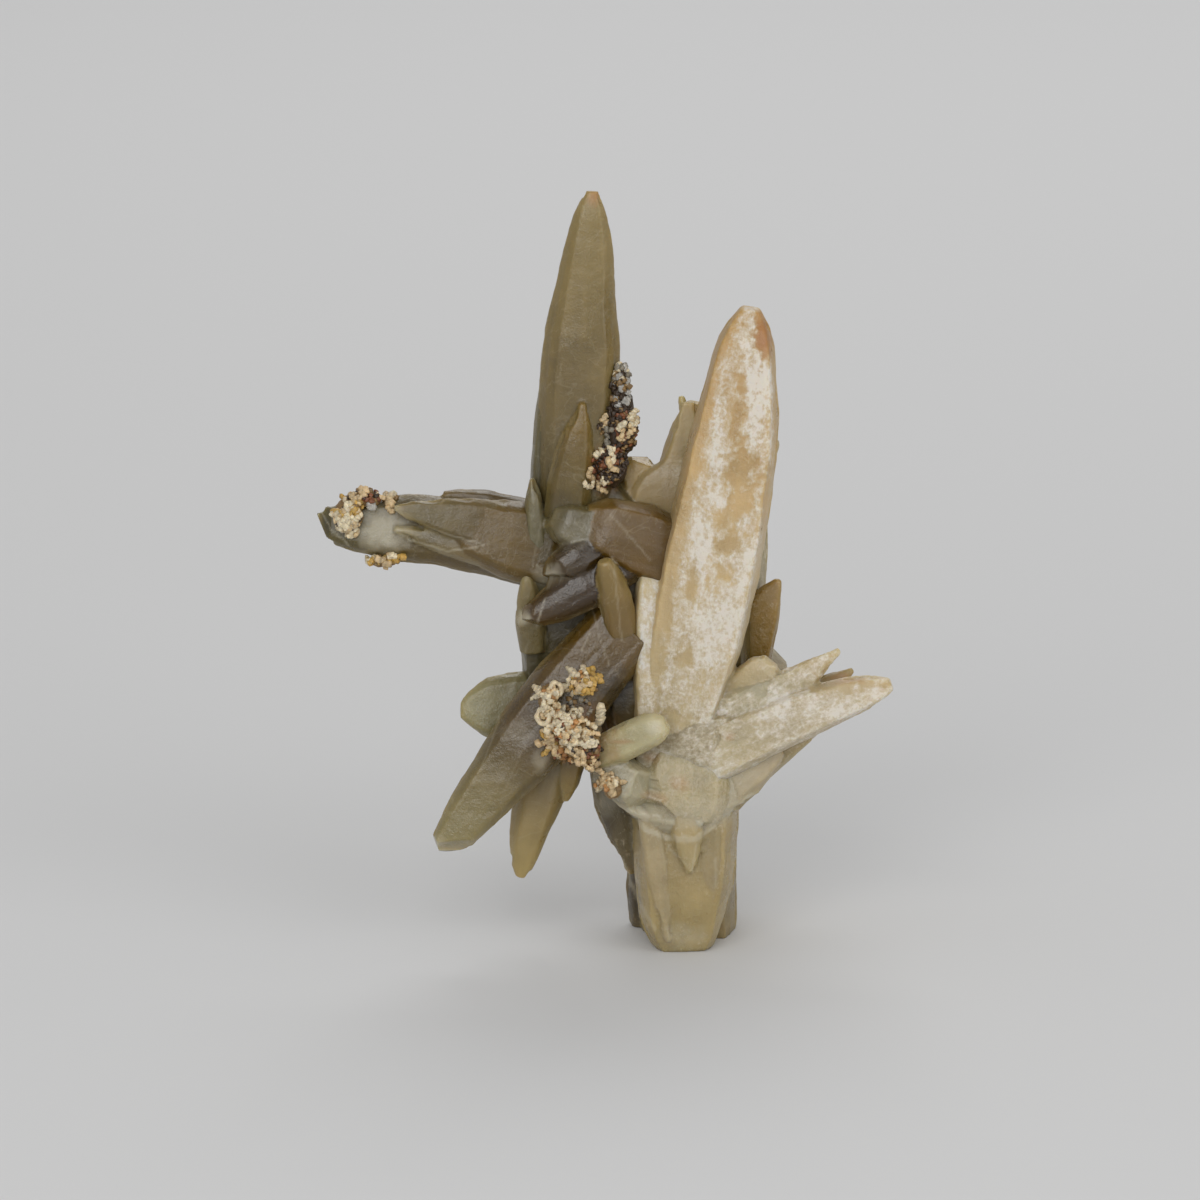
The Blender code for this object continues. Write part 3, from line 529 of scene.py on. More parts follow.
class Blade:
    """One crystal: where it starts, its three directions, and its half widths from root to end."""

    def __init__(self, name, root, end, scale, depth, widths, flat, tones):
        start, stop = seen(*root), seen(*end)
        self.name = name
        self.start = start
        self.length = (stop - start).length
        self.along = (stop - start).normalized()
        self.right = self.along.cross(TOWARDS_VIEW).normalized()
        self.front = self.right.cross(self.along)
        self.flat = min(FLAT_MOST, flat + FLAT_GAIN)
        self.seed = sum(ord(letter) * (i + 3) for i, letter in enumerate(name))
        part, left, right = zip(*widths)
        self.parts = np.linspace(0, 1, RINGS)
        self.left = rounded(np.interp(self.parts, part, left)) * scale + SKIN_LOSS
        self.right_half = rounded(np.interp(self.parts, part, right)) * scale + SKIN_LOSS
        middle = (self.left + self.right_half) / 2
        self.thick = depth / 2 * middle / middle.max()
        self.tones = np.array([linear(code) for code in tones.split()])

    def section(self):
        """Half a ring's corners from left to right, then the other half: across and forward."""
        bend = (1 + self.flat) / 2
        right = ((self.flat, FACE_FORWARD), (bend, BEND_FORWARD), (1, EDGE_FACE))
        left = tuple((-across, forward) for across, forward in reversed(right))
        face = left + ((0, 1),) + right
        return face + tuple((across, -forward) for across, forward in reversed(face))

    def grow(self, bm):
        """The closed shell: one ring, then its cap drawn out ring by ring."""
        chance = random.Random(self.seed)
        section = self.section()
        ring = bmesh.ops.create_circle(bm, cap_ends=True, segments=len(section), radius=1)["verts"]
        cap = ring[0].link_faces[0]
        for step in range(RINGS):
            if step:
                made = bmesh.ops.extrude_face_region(bm, geom=[cap])["geom"]
                if step > 1:
                    bmesh.ops.delete(bm, geom=[cap], context="FACES_ONLY")
                cap = next(item for item in made if isinstance(item, bmesh.types.BMFace))
            centre = self.start + self.along * self.length * self.parts[step]
            for corner, (across, forward) in zip(cap.verts, section):
                half = self.left[step] if across < 0 else self.right_half[step]
                wear = 1 + chance.uniform(-WORN, WORN)
                place = self.right * across * half * wear + self.front * forward * self.thick[step]
                corner.co = centre + place

    def half(self, part, across):
        """Half width at this part of the length, on the side that across is on."""
        left = np.interp(part, self.parts, self.left)
        right = np.interp(part, self.parts, self.right_half)
        return np.where(across < 0, left, right)

    def laths(self, across, along):
        """Height of the parallel growth laths on its faces: each stops at its own place along it."""
        chance = np.random.default_rng(self.seed)
        height = chance.uniform(0, 1, LANES)
        stop = chance.uniform(0.3, 1.1, LANES) * self.length
        lane = across / LATH_WIDTH + LANES / 2 + WAVER * np.sin(along * WAVERS_PER_MM + self.seed)
        cell = np.floor(lane).astype(int)
        side = np.minimum(lane - cell, cell + 1 - lane) * LATH_WIDTH
        past = np.clip(1 - (along - stop[cell]) / LATH_END, 0, 1)
        return height[cell] * past * np.clip(side / LATH_SIDE, 0, 1)


def grown(blades):
    """All the shells in one mesh, cut flat where they stand, and the blade that each face is of."""
    bm = bmesh.new()
    blade_of = bm.faces.layers.int.new("blade")
    for number, blade in enumerate(blades, 1):
        blade.grow(bm)
        for face in bm.faces:
            if not face[blade_of]:
                face[blade_of] = number
    everything = bm.verts[:] + bm.edges[:] + bm.faces[:]
    bmesh.ops.bisect_plane(bm, geom=everything, plane_co=(0, 0, 0), plane_no=(0, 0, -1), clear_outer=True)
    rims = [edge for edge in bm.edges if edge.is_boundary]
    for face in bmesh.ops.holes_fill(bm, edges=rims)["faces"]:
        face[blade_of] = max(other[blade_of] for edge in face.edges for other in edge.link_faces)
    bmesh.ops.recalc_face_normals(bm, faces=bm.faces)
    bm.faces.ensure_lookup_table()
    return bm, np.array([face[blade_of] - 1 for face in bm.faces])


def skin_of(name, bm):
    """One closed skin over all the shells, of even small faces, its creases slightly worn."""
    raw = placed(name + "_shells", mesh_of(name, bm))
    remesh = raw.modifiers.new("skin", "REMESH")
    remesh.mode = "VOXEL"
    remesh.voxel_size = VOXEL
    wear = raw.modifiers.new("wear", "SMOOTH")
    wear.factor = 0.5
    wear.iterations = 1
    view = bpy.context.evaluated_depsgraph_get()
    skin = bpy.data.meshes.new_from_object(raw.evaluated_get(view))
    bpy.data.objects.remove(raw)
    skin.name = name
    return skin


def in_view(co):
    """Where the front view shows these points: across and up, in mm."""
    up = co[:, 2] * math.cos(VIEW_TILT) + (co[:, 1] + FOOT_MIDDLE_BACK) * math.sin(VIEW_TILT)
    return co[:, 0], up


def patch_amount(co, ragged, place, wide, tall, soft, torn):
    """1 inside an oval place of the front view, falling to 0 over its soft ragged edge."""
    across, up = in_view(co)
    distance = np.hypot((across - place[0]) / wide, (up - place[1]) / tall)
    return np.clip((1 + soft / 2 - distance - torn * ragged) / soft, 0, 1)


def scratch_amount(co, ragged, start, end, width):
    """1 on a slightly wavering line of the front view, falling to 0 beside it."""
    across, up = in_view(co)
    run = (end[0] - start[0], end[1] - start[1])
    length = math.hypot(*run)
    along = ((across - start[0]) * run[0] + (up - start[1]) * run[1]) / length
    aside = ((across - start[0]) * run[1] - (up - start[1]) * run[0]) / length
    beyond = np.maximum(0, np.abs(along - length / 2) - length / 2)
    distance = np.hypot(np.abs(aside + 0.25 * ragged), beyond)
    return np.clip((width - distance) / 0.2, 0, 1)


def noise_over(co, scale, shift=0.0):
    """Smooth noise, about -0.5 to 0.5, at every point; scale is in features per mm."""
    moved = Vector((shift, shift, shift))
    return np.array([noise.noise(Vector(point) * scale + moved) for point in co.tolist()])


def frost_relief(co):
    """Relief of the chalky skin: low worm-like ridges with pits between them."""
    relief = []
    for point in co.tolist():
        gaps = noise.voronoi(Vector(point) * FROST)[0]
        relief.append(FROST_HEIGHT * (1 - min(1.0, (gaps[1] - gaps[0]) * FROST_STEEP)))
    return np.array(relief)


def chalk_across(side):
    """The tall white blade is bare honey along its left edge and thinly coated at its right edge."""
    return np.interp(side, (-0.8, -0.5, 0.88, 0.97), (0.0, 1.0, 1.0, 0.35))


def blade_marks(blades, number_of, co):
    """By corner: its place on its blade, its colour, its chalk, glass and painted glow rim, and its laths'
    height.
    """
    growth = np.empty((len(co), 3))
    tone = np.ones((len(co), 4))
    marks = np.zeros((len(co), 4))
    laths = np.zeros(len(co))
    for number, blade in enumerate(blades):
        mine = number_of == number
        offset = co[mine] - np.array(blade.start)
        across, along, forward = (offset @ np.array(way) for way in (blade.right, blade.along, blade.front))
        part = np.clip(along / blade.length, 0, 1)
        half = blade.half(part, across)
        edge = np.minimum(half - np.abs(across), 0.6 * (blade.length - along))
        side = across / np.maximum(half, 0.2)
        chalk = CHALK.get(blade.name, 0.0)
        growth[mine] = np.stack((across + blade.seed % 97, along, forward), 1)
        for channel in range(3):
            tone[mine, channel] = np.interp(part, (0, 0.5, 1), blade.tones[:, channel])
        bare_edged = blade.name in ("white_blade", "white_finger")
        marks[mine, 0] = chalk * (chalk_across(side) if bare_edged else 1)
        marks[mine, 1] = GLASSY.get(blade.name, 0.0)
        # channel 2 is the painted glow along thin edges, where light passes through them
        marks[mine, 2] = np.clip(1 - edge / GLOW_RIM, 0, 1)
        laths[mine] = LATH_HEIGHT * blade.laths(across, along) * (1 - 0.8 * chalk)
    return growth, tone, marks, laths


def patched(chalk, co, ragged, facing):
    """The chalk with its thick and bare places, on the blades that carry any."""
    for place, wide, tall, gain in CHALK_PATCHES:
        chalk += np.sign(chalk) * gain * facing * patch_amount(co, ragged, place, wide, tall, 0.9, 0.9)
    return np.clip(chalk, 0, 1.2)


def stained(co, ragged, facing):
    """By corner: how milky and rusty the stone is, and how dark: partly smoky stone, partly painted shade in
    gaps and recesses.
    """
    stains = np.zeros((len(co), 4))
    for channel, places in enumerate(STAINS.values()):
        for place, wide, tall, strength in places:
            amount = strength * facing * patch_amount(co, ragged, place, wide, tall, 1.0, 0.4)
            stains[:, channel] = np.maximum(stains[:, channel], amount)
    for start, end, width, strength in SCRATCHES:
        amount = strength * facing * scratch_amount(co, ragged, start, end, width)
        stains[:, 0] = np.maximum(stains[:, 0], amount)
    return stains


def break_ends(blades, number_of, co, marks):
    """Flat cleavage faces where a blade's end has broken off; they are glassier than the growth faces."""
    for number, blade in enumerate(blades):
        reach = BROKEN.get(blade.name)
        if not reach:
            continue
        chance = random.Random(blade.seed + 1)
        mine = number_of == number
        for _ in range(BREAK_FACES):
            back = reach * chance.uniform(0.2, 0.8)
            tilt = blade.right * chance.uniform(-0.9, 0.9) + blade.front * chance.uniform(-0.5, 0.9)
            facing = np.array((blade.along + tilt).normalized())
            middle = np.array(blade.start + blade.along * (blade.length - back))
            past = (co - middle) @ facing
            hit = mine & (past > 0)
            co[hit] -= past[hit, None] * facing
            marks[hit, 1] = 1


def chip_edges(blades, number_of, co, normal):
    """Small shell-shaped chips along the ridges at the blades' two sides, longer than they are wide."""
    for number, blade in enumerate(blades):
        chance = random.Random(blade.seed + 2)
        mine = np.flatnonzero(number_of == number)
        along = np.array(blade.along)
        for _ in range(int(blade.length / CHIP_SPACING * RAGGED.get(blade.name, 1))):
            part = chance.uniform(0.1, 1.0)
            side = chance.choice((-1, 1))
            forward = chance.choice((-1, 1))
            round_of = chance.uniform(*CHIP_ROUND)
            bite = chance.uniform(*CHIP_BITE)
            lean = (blade.right * side + blade.front * forward * chance.uniform(0.2, 1.0)).normalized()
            ridge = blade.start + blade.along * blade.length * part
            ridge += blade.right * side * float(blade.half(part, side))
            ridge += blade.front * forward * EDGE_FACE * float(np.interp(part, blade.parts, blade.thick))
            outward = np.array(lean)
            centre = np.array(ridge) + outward * (round_of - bite)
            near = mine[np.abs(co[mine] - centre).max(axis=1) < round_of * CHIP_STRETCH]
            offset = co[near] - centre
            out, run = offset @ outward, offset @ along
            aside = (offset ** 2).sum(axis=1) - out ** 2 - run ** 2 * (1 - 1 / CHIP_STRETCH ** 2)
            bottom = -np.sqrt(np.clip(round_of ** 2 - aside, 0, None))
            hit = (aside < round_of ** 2) & (out < 0) & (out > bottom) & (normal[near] @ outward > 0)
            co[near[hit]] += (bottom - out)[hit, None] * outward


def nearest_blades(tree, owner, co):
    """The number of the blade that each corner lies on; where two are cut at the floor, the first."""
    numbers = []
    for point in co.tolist():
        _, _, face, gap = tree.find_nearest(point)
        faces = [face]
        if point[2] < VOXEL:
            faces = [near[2] for near in tree.find_nearest_range(point, gap + SAME_GAP)]
        numbers.append(min(owner[near] for near in faces))
    return np.array(numbers)


def corner_values(mesh, key):
    """Every corner's place or normal, one row each."""
    values = np.empty(len(mesh.vertices) * 3)
    mesh.vertices.foreach_get(key, values)
    return values.reshape(-1, 3)


def dress(name, table):
    """A finished piece: the skin, its relief, and the attributes that its material reads."""
    blades = [Blade(key, *row) for key, row in table.items()]
    bm, owner = grown(blades)
    tree = BVHTree.FromBMesh(bm)
    mesh = skin_of(name, bm)
    co, normal = corner_values(mesh, "co"), corner_values(mesh, "normal")
    number_of = nearest_blades(tree, owner, co)
    ragged = noise_over(co, RIPPLE, RIPPLE_SHIFT)
    facing = np.clip(normal @ np.array(TOWARDS_VIEW) * 4, 0, 1)
    growth, tone, marks, laths = blade_marks(blades, number_of, co)
    lift = SWELL_HEIGHT * noise_over(co, SWELL) + RIPPLE_HEIGHT * ragged + laths
    if marks[:, 0].any():
        marks[:, 0] = patched(marks[:, 0], co, ragged, facing)
        lift += marks[:, 0] * frost_relief(co)
    stains = stained(co, ragged, facing)
    co += normal * (lift - DRAWN_IN)[:, None]
    break_ends(blades, number_of, co, marks)
    chip_edges(blades, number_of, co, normal)
    low, high = (np.array(corner) / MM for corner in cad_box)
    co = np.clip(co, low, high) * MM
    mesh.vertices.foreach_set("co", co.ravel())
    mesh.attributes.new("growth", "FLOAT_VECTOR", "POINT").data.foreach_set("vector", growth.ravel())
    for key, values in (("tone", tone), ("marks", marks), ("stains", stains)):
        mesh.attributes.new(key, "FLOAT_COLOR", "POINT").data.foreach_set("color", values.ravel())
    mesh.shade_smooth()
    return placed(name, mesh)


def lump_shape(bm, middle, half):
    """A lumpy ball for the stone under a crust; returns its corners."""
    made = bmesh.ops.create_icosphere(bm, subdivisions=4, radius=1)["verts"]
    centre = seen(*middle)
    for corner in made:
        way = corner.co.copy()
        swell = 1 + 0.22 * noise.noise(way * 1.7 + centre * 0.3) + 0.07 * noise.noise(way * 5)
        wide, tall, thick = half
        corner.co = centre + Vector((way.x * wide, way.y * thick, way.z * tall)) * swell
    return made


def ground():
    """Everything a crust can sit on, as a tree to drop grains onto from the front."""
    corners, faces = [], []
    builders = [Blade(key, *row).grow for table in BLADES.values() for key, row in table.items()]
    for crust in CRUSTS.values():
        builders += [partial(lump_shape, middle=middle, half=half) for middle, half, _ in crust["lumps"]]
    for build in builders:
        bm = bmesh.new()
        build(bm)
        bmesh.ops.recalc_face_normals(bm, faces=bm.faces)
        bm.verts.index_update()
        first = len(corners)
        corners += [corner.co.copy() for corner in bm.verts]
        faces += [[first + corner.index for corner in face.verts] for face in bm.faces]
        bm.free()
    return BVHTree.FromPolygons(corners, faces)


def grain_template():
    """A worn little calcite rhomb, 1 mm wide: its corners, and the corners of each face."""
    bm = bmesh.new()
    bmesh.ops.create_cube(bm, size=1)
    bmesh.ops.bevel(
        bm, geom=bm.edges[:], offset=0.16, segments=1, affect="EDGES", profile=0.5, material=-1,
    )
    bm.verts.index_update()
    for corner in bm.verts:
        corner.co.x += 0.26 * corner.co.z + 0.14 * corner.co.y
    corners = [corner.co.copy() for corner in bm.verts]
    faces = [[corner.index for corner in face.verts] for face in bm.faces]
    bm.free()
    return corners, faces


class Crust:
    """One crust being laid: its mesh, the tone of its corners, and what it's laid on."""

    def __init__(self, name, tree, rhomb=None):
        self.bm = bmesh.new()
        self.tone = self.bm.verts.layers.float_color.new("tone")
        self.chance = random.Random(name)
        self.tree = tree
        self.rhomb = rhomb

    def surface(self, across, up):
        """What the front view shows at (across, up): the point and its normal."""
        spot, facing, _, _ = self.tree.ray_cast(seen(across, up, -60), -TOWARDS_VIEW)
        return spot, facing

    def paint(self, corners, colour, light=1.0):
        tone = (*(part * light for part in linear(GRAIN_COLOURS[colour])), 1)
        for corner in corners:
            corner[self.tone] = tone

    def within(self, place, wide, tall):
        """A random point in an oval of the front view."""
        angle = self.chance.uniform(0, math.tau)
        reach = self.chance.random() ** 0.5
        return place[0] + wide * reach * math.cos(angle), place[1] + tall * reach * math.sin(angle)

    def lay_grain(self, across, up, size, colours, proud=0.1):
        spot, facing = self.surface(across, up)
        if spot is None:
            return
        chance = self.chance
        wide = size * chance.uniform(0.75, 1.25)
        turn = Euler([chance.uniform(0, math.tau) for _ in range(3)]).to_matrix().to_4x4()
        shape = Matrix.Diagonal((wide, wide * chance.uniform(0.7, 1), wide * chance.uniform(0.7, 1.1), 1))
        place = Matrix.Translation(spot + facing * wide * (proud + chance.uniform(0, 0.25))) @ turn
        corners, faces = self.rhomb
        made = [self.bm.verts.new(place @ shape @ corner) for corner in corners]
        for face in faces:
            self.bm.faces.new([made[number] for number in face])
        colour = chance.choice(colours.split())
        self.paint(made, colour, chance.uniform(0.78, 1.15))

    def lay_field(self, place, wide, tall, number, size, colours):
        for _ in range(number):
            self.lay_grain(*self.within(place, wide, tall), size, colours)

    def lay_ridges(self, place, wide, tall, number, size, colours):
        """Winding ridges of fused grains, each a short random walk over the crust."""
        for _ in range(number):
            across, up = self.within(place, wide, tall)
            heading = self.chance.uniform(0, math.tau)
            colour = self.chance.choice(colours.split())
            for _ in range(self.chance.randint(3, 8)):
                self.lay_grain(across, up, size, colour, 0.35)
                heading += self.chance.uniform(-0.9, 0.9)
                across += 0.5 * size * math.cos(heading)
                up += 0.5 * size * math.sin(heading)

    def lay_row(self, start, end, number, size, colours):
        for step in range(number):
            part = step / (number - 1)
            across = start[0] + (end[0] - start[0]) * part + self.chance.uniform(-0.15, 0.15)
            self.lay_grain(across, start[1] + (end[1] - start[1]) * part, size, colours)

    def lay_ring(self, place, radius, rim, colour):
        """A rolled rim, spun round an axis that leans out of the surface."""
        spot, facing = self.surface(*place)
        made = bmesh.ops.create_circle(self.bm, segments=8, radius=rim)["verts"]
        upright = Matrix.Translation((radius, 0, 0)) @ Matrix.Rotation(math.pi / 2, 4, "X")
        bmesh.ops.transform(self.bm, verts=made, matrix=upright)
        edges = list(dict.fromkeys(edge for corner in made for edge in corner.link_edges))
        known = len(self.bm.verts) - len(made)
        bmesh.ops.spin(
            self.bm, geom=made + edges, cent=(0, 0, 0), axis=(0, 0, 1), angle=math.tau, steps=18,
            use_merge=True,
        )
        self.bm.verts.ensure_lookup_table()
        ring = self.bm.verts[known:]
        lean = (facing + TOWARDS_VIEW).normalized().to_track_quat("Z", "Y").to_matrix().to_4x4()
        bmesh.ops.transform(self.bm, verts=ring, matrix=Matrix.Translation(spot + facing * rim * 0.6) @ lean)
        for corner in ring:
            corner.co += noise.noise_vector(corner.co * 1.4) * 0.22
        self.paint(ring, colour)

    def lay_lump(self, middle, half, colour):
        self.paint(lump_shape(self.bm, middle, half), colour)

    def lay_bead(self, place, wide, tall):
        """A clear drop of calcite, where the front view shows some ground for it."""
        spot, facing = self.surface(*place)
        if spot is None:
            return
        for corner in bmesh.ops.create_icosphere(self.bm, subdivisions=3, radius=1)["verts"]:
            swell = 1 + 0.5 * noise.noise(corner.co * 1.5 + spot)
            way = Vector((corner.co.x * wide, corner.co.y * wide * 0.8, corner.co.z * tall))
            corner.co = spot + facing * wide * 0.3 + way * swell

    def lift(self, name):
        """The finished piece, in metres."""
        bmesh.ops.recalc_face_normals(self.bm, faces=self.bm.faces)
        bmesh.ops.scale(self.bm, vec=(MM, MM, MM), verts=self.bm.verts)
        mesh = mesh_of(name, self.bm)
        mesh.shade_smooth()
        return placed(name, mesh)


def lay_crust(node, parts, tree, rhomb):
    """The stone, the grains and the rolled rims of one crust."""
    crust = Crust(node, tree, rhomb)
    ways = (
        ("lumps", crust.lay_lump), ("fields", crust.lay_field), ("ridges", crust.lay_ridges),
        ("rows", crust.lay_row), ("rings", crust.lay_ring),
    )
    for kind, lay in ways:
        for row in parts.get(kind, ()):
            lay(*row)
    return crust.lift(node.replace("druse", "grains"))


def lay_beads(node, rows, tree):
    """The clear drops that sit in one crust."""
    crust = Crust(node, tree)
    for row in rows:
        crust.lay_bead(*row)
    return crust.lift(node.replace("druse", "drops"))


def add_node(material, kind, values=(), links=(), **settings):
    """Adds a node, sets its own settings and its input values, links what feeds it, gives its outputs."""
    tree = material.node_tree
    made = tree.nodes.new("ShaderNode" + kind)
    for key, value in settings.items():
        setattr(made, key, value)
    for key, value in dict(values).items():
        made.inputs[key].default_value = value
    for key, source in dict(links).items():
        tree.links.new(source, made.inputs[key])
    return made.outputs


def opaque(code):
    """A hex colour as a socket takes it."""
    return (*linear(code), 1)


def new_material(name):
    material = bpy.data.materials.new(name)
    material.use_nodes = True
    return material


def finish(material, values, links=()):
    """Sets the plain values of a material's shader and links what feeds it."""
    shader = material.node_tree.nodes["Principled BSDF"]
    for key, value in values.items():
        shader.inputs[key].default_value = value
    for key, source in dict(links).items():
        material.node_tree.links.new(source, shader.inputs[key])
    return material


def calcite(name, chalky):
    """Calcite with natural growth faces: waxy and cloudy inside, so light goes a little way in.

    A chalky one has a thin rough white skin that lets the honey body show where it is worn."""
    material = new_material(name)
    node = partial(add_node, material)
    tone = node("Attribute", attribute_name="tone")["Color"]
    marks = node("Attribute", attribute_name="marks")["Color"]
    stains = node("Attribute", attribute_name="stains")["Color"]
    growth = node("Attribute", attribute_name="growth")["Vector"]
    chalk, glassy, rim = node("SeparateColor", links={0: marks})
    milky, rusty, smoky_and_shade = node("SeparateColor", links={0: stains})
    place = node("TexCoord")["Object"]

    # faint streaks run along each blade
    per_mm = [1 / size for size in STREAK]
    drawn = node("Mapping", {"Scale": per_mm}, {"Vector": growth})["Vector"]
    streaks = node("TexNoise", {"Scale": 1.0, "Detail": 5.0, "Roughness": 0.6}, {"Vector": drawn})["Fac"]
    streak_light = node(
        "MapRange", {**NOISE_REACH, "To Min": 0.93, "To Max": 1.07}, {"Value": streaks}
    )["Result"]
    # clouds inside the crystal
    clouds = node(
        "TexNoise", {"Scale": 1 / (CLOUD * MM), "Detail": 3.0, "Roughness": 0.55}, {"Vector": place}
    )["Fac"]
    cloud_light = node(
        "MapRange", {**NOISE_REACH, "To Min": 0.87, "To Max": 1.13}, {"Value": clouds}
    )["Result"]
    light = node("Math", links={0: streak_light, 1: cloud_light}, operation="MULTIPLY")["Value"]
    colour = node("VectorMath", links={0: tone, "Scale": light}, operation="SCALE")["Vector"]
    # healed cracks are thin winding pale lines, where this noise passes its middle value
    cracks = node(
        "TexNoise",
        {"Scale": 1 / (CRACK_SPACING * MM), "Detail": 4.0, "Roughness": 0.55, "Distortion": 0.6},
        {"Vector": place},
    )["Fac"]
    aside = node("Math", {1: 0.5}, {0: cracks}, operation="SUBTRACT")["Value"]
    aside = node("Math", links={0: aside}, operation="ABSOLUTE")["Value"]
    crack = node("MapRange", {"From Max": 0.007, "To Min": 0.12, "To Max": 0.0}, {"Value": aside})["Result"]
    # painted glow: thin edges are painted paler and yellower, standing in for light passing through them
    painted_glow_rim = node("Math", {1: 0.2}, {0: rim}, operation="MULTIPLY")["Value"]
    # pale flecks
    fine = node(
        "TexNoise", {"Scale": 1 / (FLECK * MM), "Detail": 3.0, "Roughness": 0.7}, {"Vector": place}
    )["Fac"]
    flecks = node("MapRange", {"From Min": 0.66, "From Max": 0.78, "To Max": 0.3}, {"Value": fine})["Result"]
    # the dark smoky layer is partly smoky stone and partly painted shade in gaps and recesses
    layers = (
        (painted_glow_rim, "b09c68"), (smoky_and_shade, "2b241a"), (rusty, "a2703c"), (crack, "bdb49a"), (milky, "c6bfa9"),
        (flecks, "c9c0a6"),
    )
    for part, code in layers:
        colour = node("Mix", {7: opaque(code)}, {0: part, 6: colour}, data_type="RGBA")[2]
    # broken faces are glassier than grown ones
    rough = node("MapRange", {**NOISE_REACH, "To Min": 0.24, "To Max": 0.42}, {"Value": clouds})["Result"]
    rough = node("Mix", {3: 0.16}, {0: glassy, 2: rough}, data_type="FLOAT")[0]
    height = fine
    if chalky:
        # the skin is thick or thin in patches, drawn out along the blade as fibres
        patch = node(
            "TexNoise", {"Scale": 1 / (CHALK_PATCH * MM), "Detail": 4.0, "Roughness": 0.7}, {"Vector": place}
        )["Fac"]
        per_mm = [1 / size for size in CHALK_FIBRE]
        drawn = node("Mapping", {"Scale": per_mm}, {"Vector": growth})["Vector"]
        fibres = node(
            "TexNoise", {"Scale": 1.0, "Detail": 5.0, "Roughness": 0.75}, {"Vector": drawn}
        )["Fac"]
        # the net of walls between the pits is bent by smaller noise
        bent = node("TexNoise", {"Scale": 1 / (PIT_BEND * MM), "Detail": 2.0}, {"Vector": place})["Color"]
        moved = node("VectorMath", {"Scale": PIT_BEND_REACH * MM}, {0: bent}, operation="SCALE")["Vector"]
        warped = node("VectorMath", links={0: place, 1: moved}, operation="ADD")["Vector"]
        pits = node(
            "TexVoronoi", {"Scale": 1 / (PIT * MM)}, {"Vector": warped}, feature="DISTANCE_TO_EDGE"
        )["Distance"]
        # how much each pattern adds to the skin, and the value at which it adds nothing
        shares = ((patch, 1.2, 0.5), (fibres, 1.7, 0.5), (fine, 1.1, 0.5), (pits, -0.7, 0.15))
        height = chalk
        for part, weight, middle in shares:
            values = {1: weight, 2: -weight * middle}
            share = node("Math", values, {0: part}, operation="MULTIPLY_ADD")["Value"]
            height = node("Math", links={0: height, 1: share}, operation="ADD")["Value"]
        cover = node(
            "MapRange", {"From Min": 0.2, "From Max": 1.05, "To Max": 0.95}, {"Value": height}
        )["Result"]
        white = node("Mix", {6: opaque("bfae8a"), 7: opaque("dbd5ca")}, {0: cover}, data_type="RGBA")[2]
        colour = node("Mix", links={0: cover, 6: colour, 7: white}, data_type="RGBA")[2]
        rough = node("Mix", {3: 0.85}, {0: cover, 2: rough}, data_type="FLOAT")[0]
    bump = node("Bump", {"Strength": 0.5, "Distance": 0.2 * MM}, {"Height": height})["Normal"]
    # light goes some 4 mm in, red the furthest
    return finish(
        material,
        {
            "IOR": 1.6, "Subsurface Weight": 0.45, "Subsurface Radius": (1.0, 0.72, 0.4),
            "Subsurface Scale": 4 * MM,
        },
        {"Base Color": colour, "Roughness": rough, "Normal": bump},
    )


def grain_calcite():
    """Small calcite rhombs grown as a crust, stained cream to rust: dull faces with a waxy sparkle."""
    material = new_material("drusy calcite grains")
    node = partial(add_node, material)
    tone = node("Attribute", attribute_name="tone")["Color"]
    place = node("TexCoord")["Object"]
    dust = node(
        "TexNoise", {"Scale": 1 / (GRAIN_DUST * MM), "Detail": 4.0, "Roughness": 0.65}, {"Vector": place}
    )["Fac"]
    light = node("MapRange", {**NOISE_REACH, "To Min": 0.7, "To Max": 1.2}, {"Value": dust})["Result"]
    colour = node("VectorMath", links={0: tone, "Scale": light}, operation="SCALE")["Vector"]
    bump = node("Bump", {"Strength": 0.4, "Distance": 0.2 * MM}, {"Height": dust})["Normal"]
    return finish(
        material,
        {
            "Roughness": 0.42, "Subsurface Weight": 0.25, "Subsurface Radius": (1.0, 0.7, 0.4),
            "Subsurface Scale": 0.8 * MM,
        },
        {"Base Color": colour, "Normal": bump},
    )


def clear_calcite():
    """Clear calcite, grown as smooth drops: bright glints over whatever lies behind."""
    return finish(
        new_material("clear calcite drops"),
        {"Base Color": opaque("e4e0d6"), "Roughness": 0.2, "IOR": 1.5, "Transmission Weight": 0.6},
    )


def matt_paper():
    """Smooth matt card, pale grey: it shows a soft shadow and no gloss."""
    return finish(new_material("matt pale paper"), {"Base Color": opaque("d6d6d6"), "Roughness": 0.9})


def floor():
    """A plain pale sheet under and behind the specimen."""
    bm = bmesh.new()
    bmesh.ops.create_grid(bm, x_segments=2, y_segments=2, size=4)
    sheet = placed("floor", mesh_of("floor", bm))
    sheet.data.materials.append(matt_paper())


# The lights' aim and the camera's distance, in metres, and the middle of the photograph: across, up
AIM = Vector((0, 0, 0.055))
CAMERA_DISTANCE = 1.6
PHOTO_CENTRE = (-14.4, 57.12)


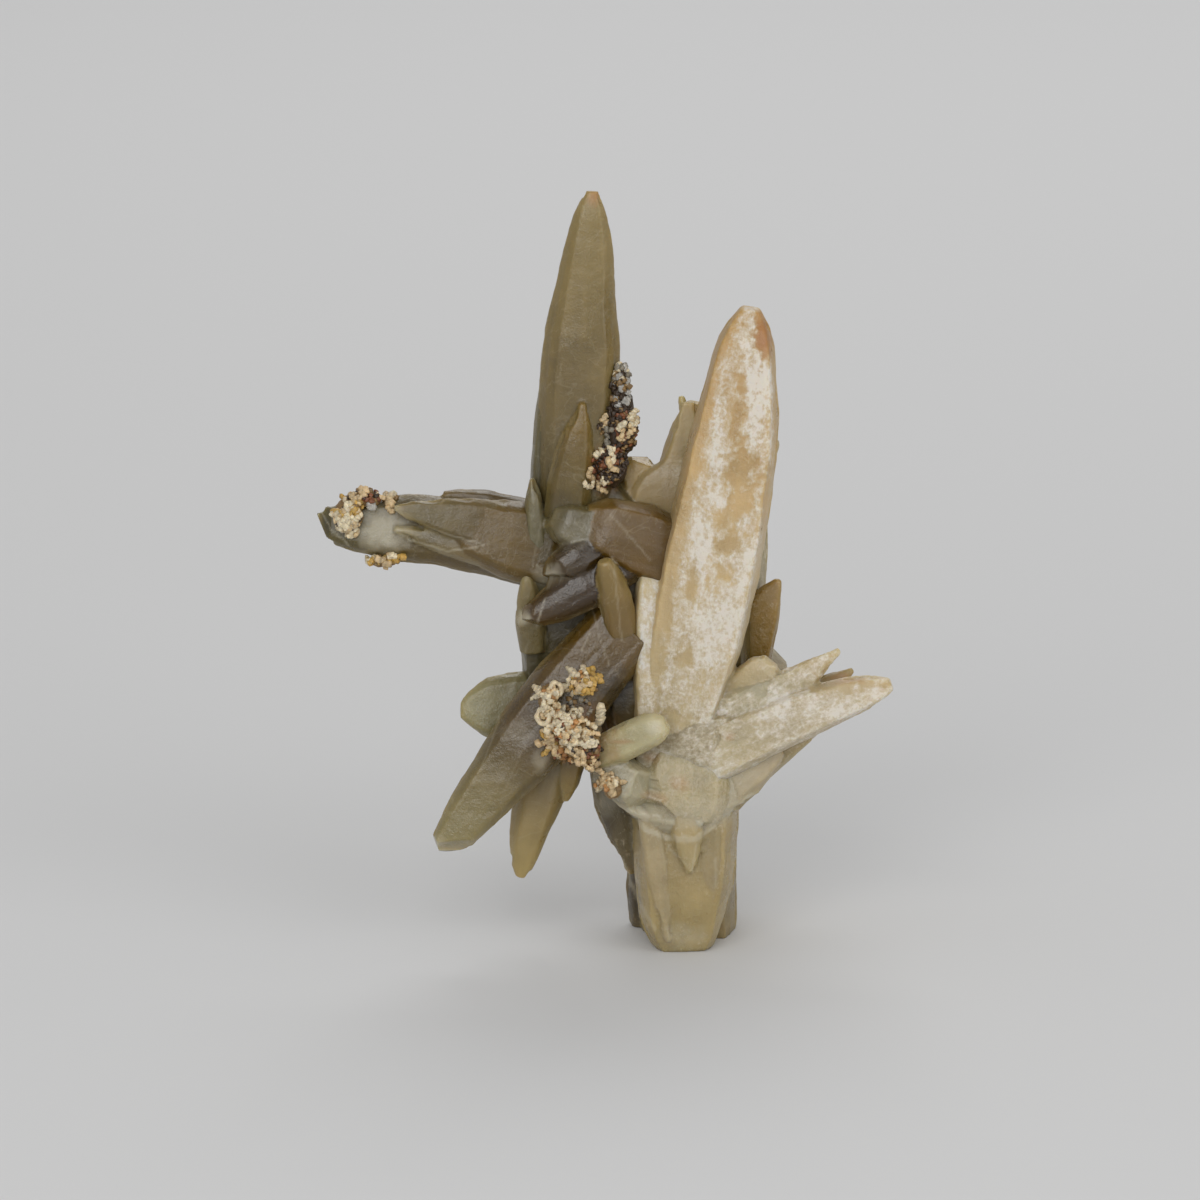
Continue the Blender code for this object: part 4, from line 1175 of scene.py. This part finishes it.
def soft_light(name, place, size, power):
    data = bpy.data.lights.new(name, "AREA")
    data.shape = "SQUARE"
    data.size = size
    data.energy = power
    lamp = placed(name, data)
    lamp.location = place
    lamp.rotation_euler = (AIM - Vector(place)).to_track_quat("-Z", "Y").to_euler()


def studio():
    """Large soft lights, a pale surround, and the camera at the photograph's angle."""
    soft_light("key", (-0.3, -1.2, 0.7), 0.9, 8)
    soft_light("fill", (0.95, -0.8, 0.5), 1.0, 4.5)
    soft_light("back", (0.1, 0.9, 0.9), 0.8, 4)
    world = bpy.context.scene.world or bpy.data.worlds.new("surround")
    bpy.context.scene.world = world
    world.use_nodes = True
    background = world.node_tree.nodes["Background"]
    background.inputs["Color"].default_value = (1, 1, 1, 1)
    background.inputs["Strength"].default_value = 0.42

    across, height = PHOTO_CENTRE
    up = Vector((0, math.sin(VIEW_TILT), math.cos(VIEW_TILT)))
    centre = (Vector((across, -FOOT_MIDDLE_BACK, 0)) + up * height) * MM
    data = bpy.data.cameras.new("camera")
    data.lens = 300
    data.sensor_width = 36
    camera = placed("camera", data)
    camera.location = centre + TOWARDS_VIEW * CAMERA_DISTANCE
    camera.rotation_euler = (math.pi / 2 - VIEW_TILT, 0, 0)
    bpy.context.scene.camera = camera
    bpy.context.scene.view_settings.view_transform = "Standard"


def main():
    honey = calcite("waxy honey calcite", chalky=False)
    chalk = calcite("calcite with a chalky white skin", chalky=True)
    for name, table in BLADES.items():
        piece = dress(name, table)
        carries_chalk = any(blade in CHALK for blade in table)
        piece.data.materials.append(chalk if carries_chalk else honey)
        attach(piece, "root")
        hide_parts("calcite_cluster")
    grains = grain_calcite()
    clear = clear_calcite()
    tree = ground()
    rhomb = grain_template()
    for node, parts in CRUSTS.items():
        pieces = [(lay_crust(node, parts, tree, rhomb), grains)]
        if "beads" in parts:
            pieces.append((lay_beads(node, parts["beads"], tree), clear))
        for piece, material in pieces:
            piece.data.materials.append(material)
            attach(piece, "root")
            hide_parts(node)
    floor()
    studio()


main()
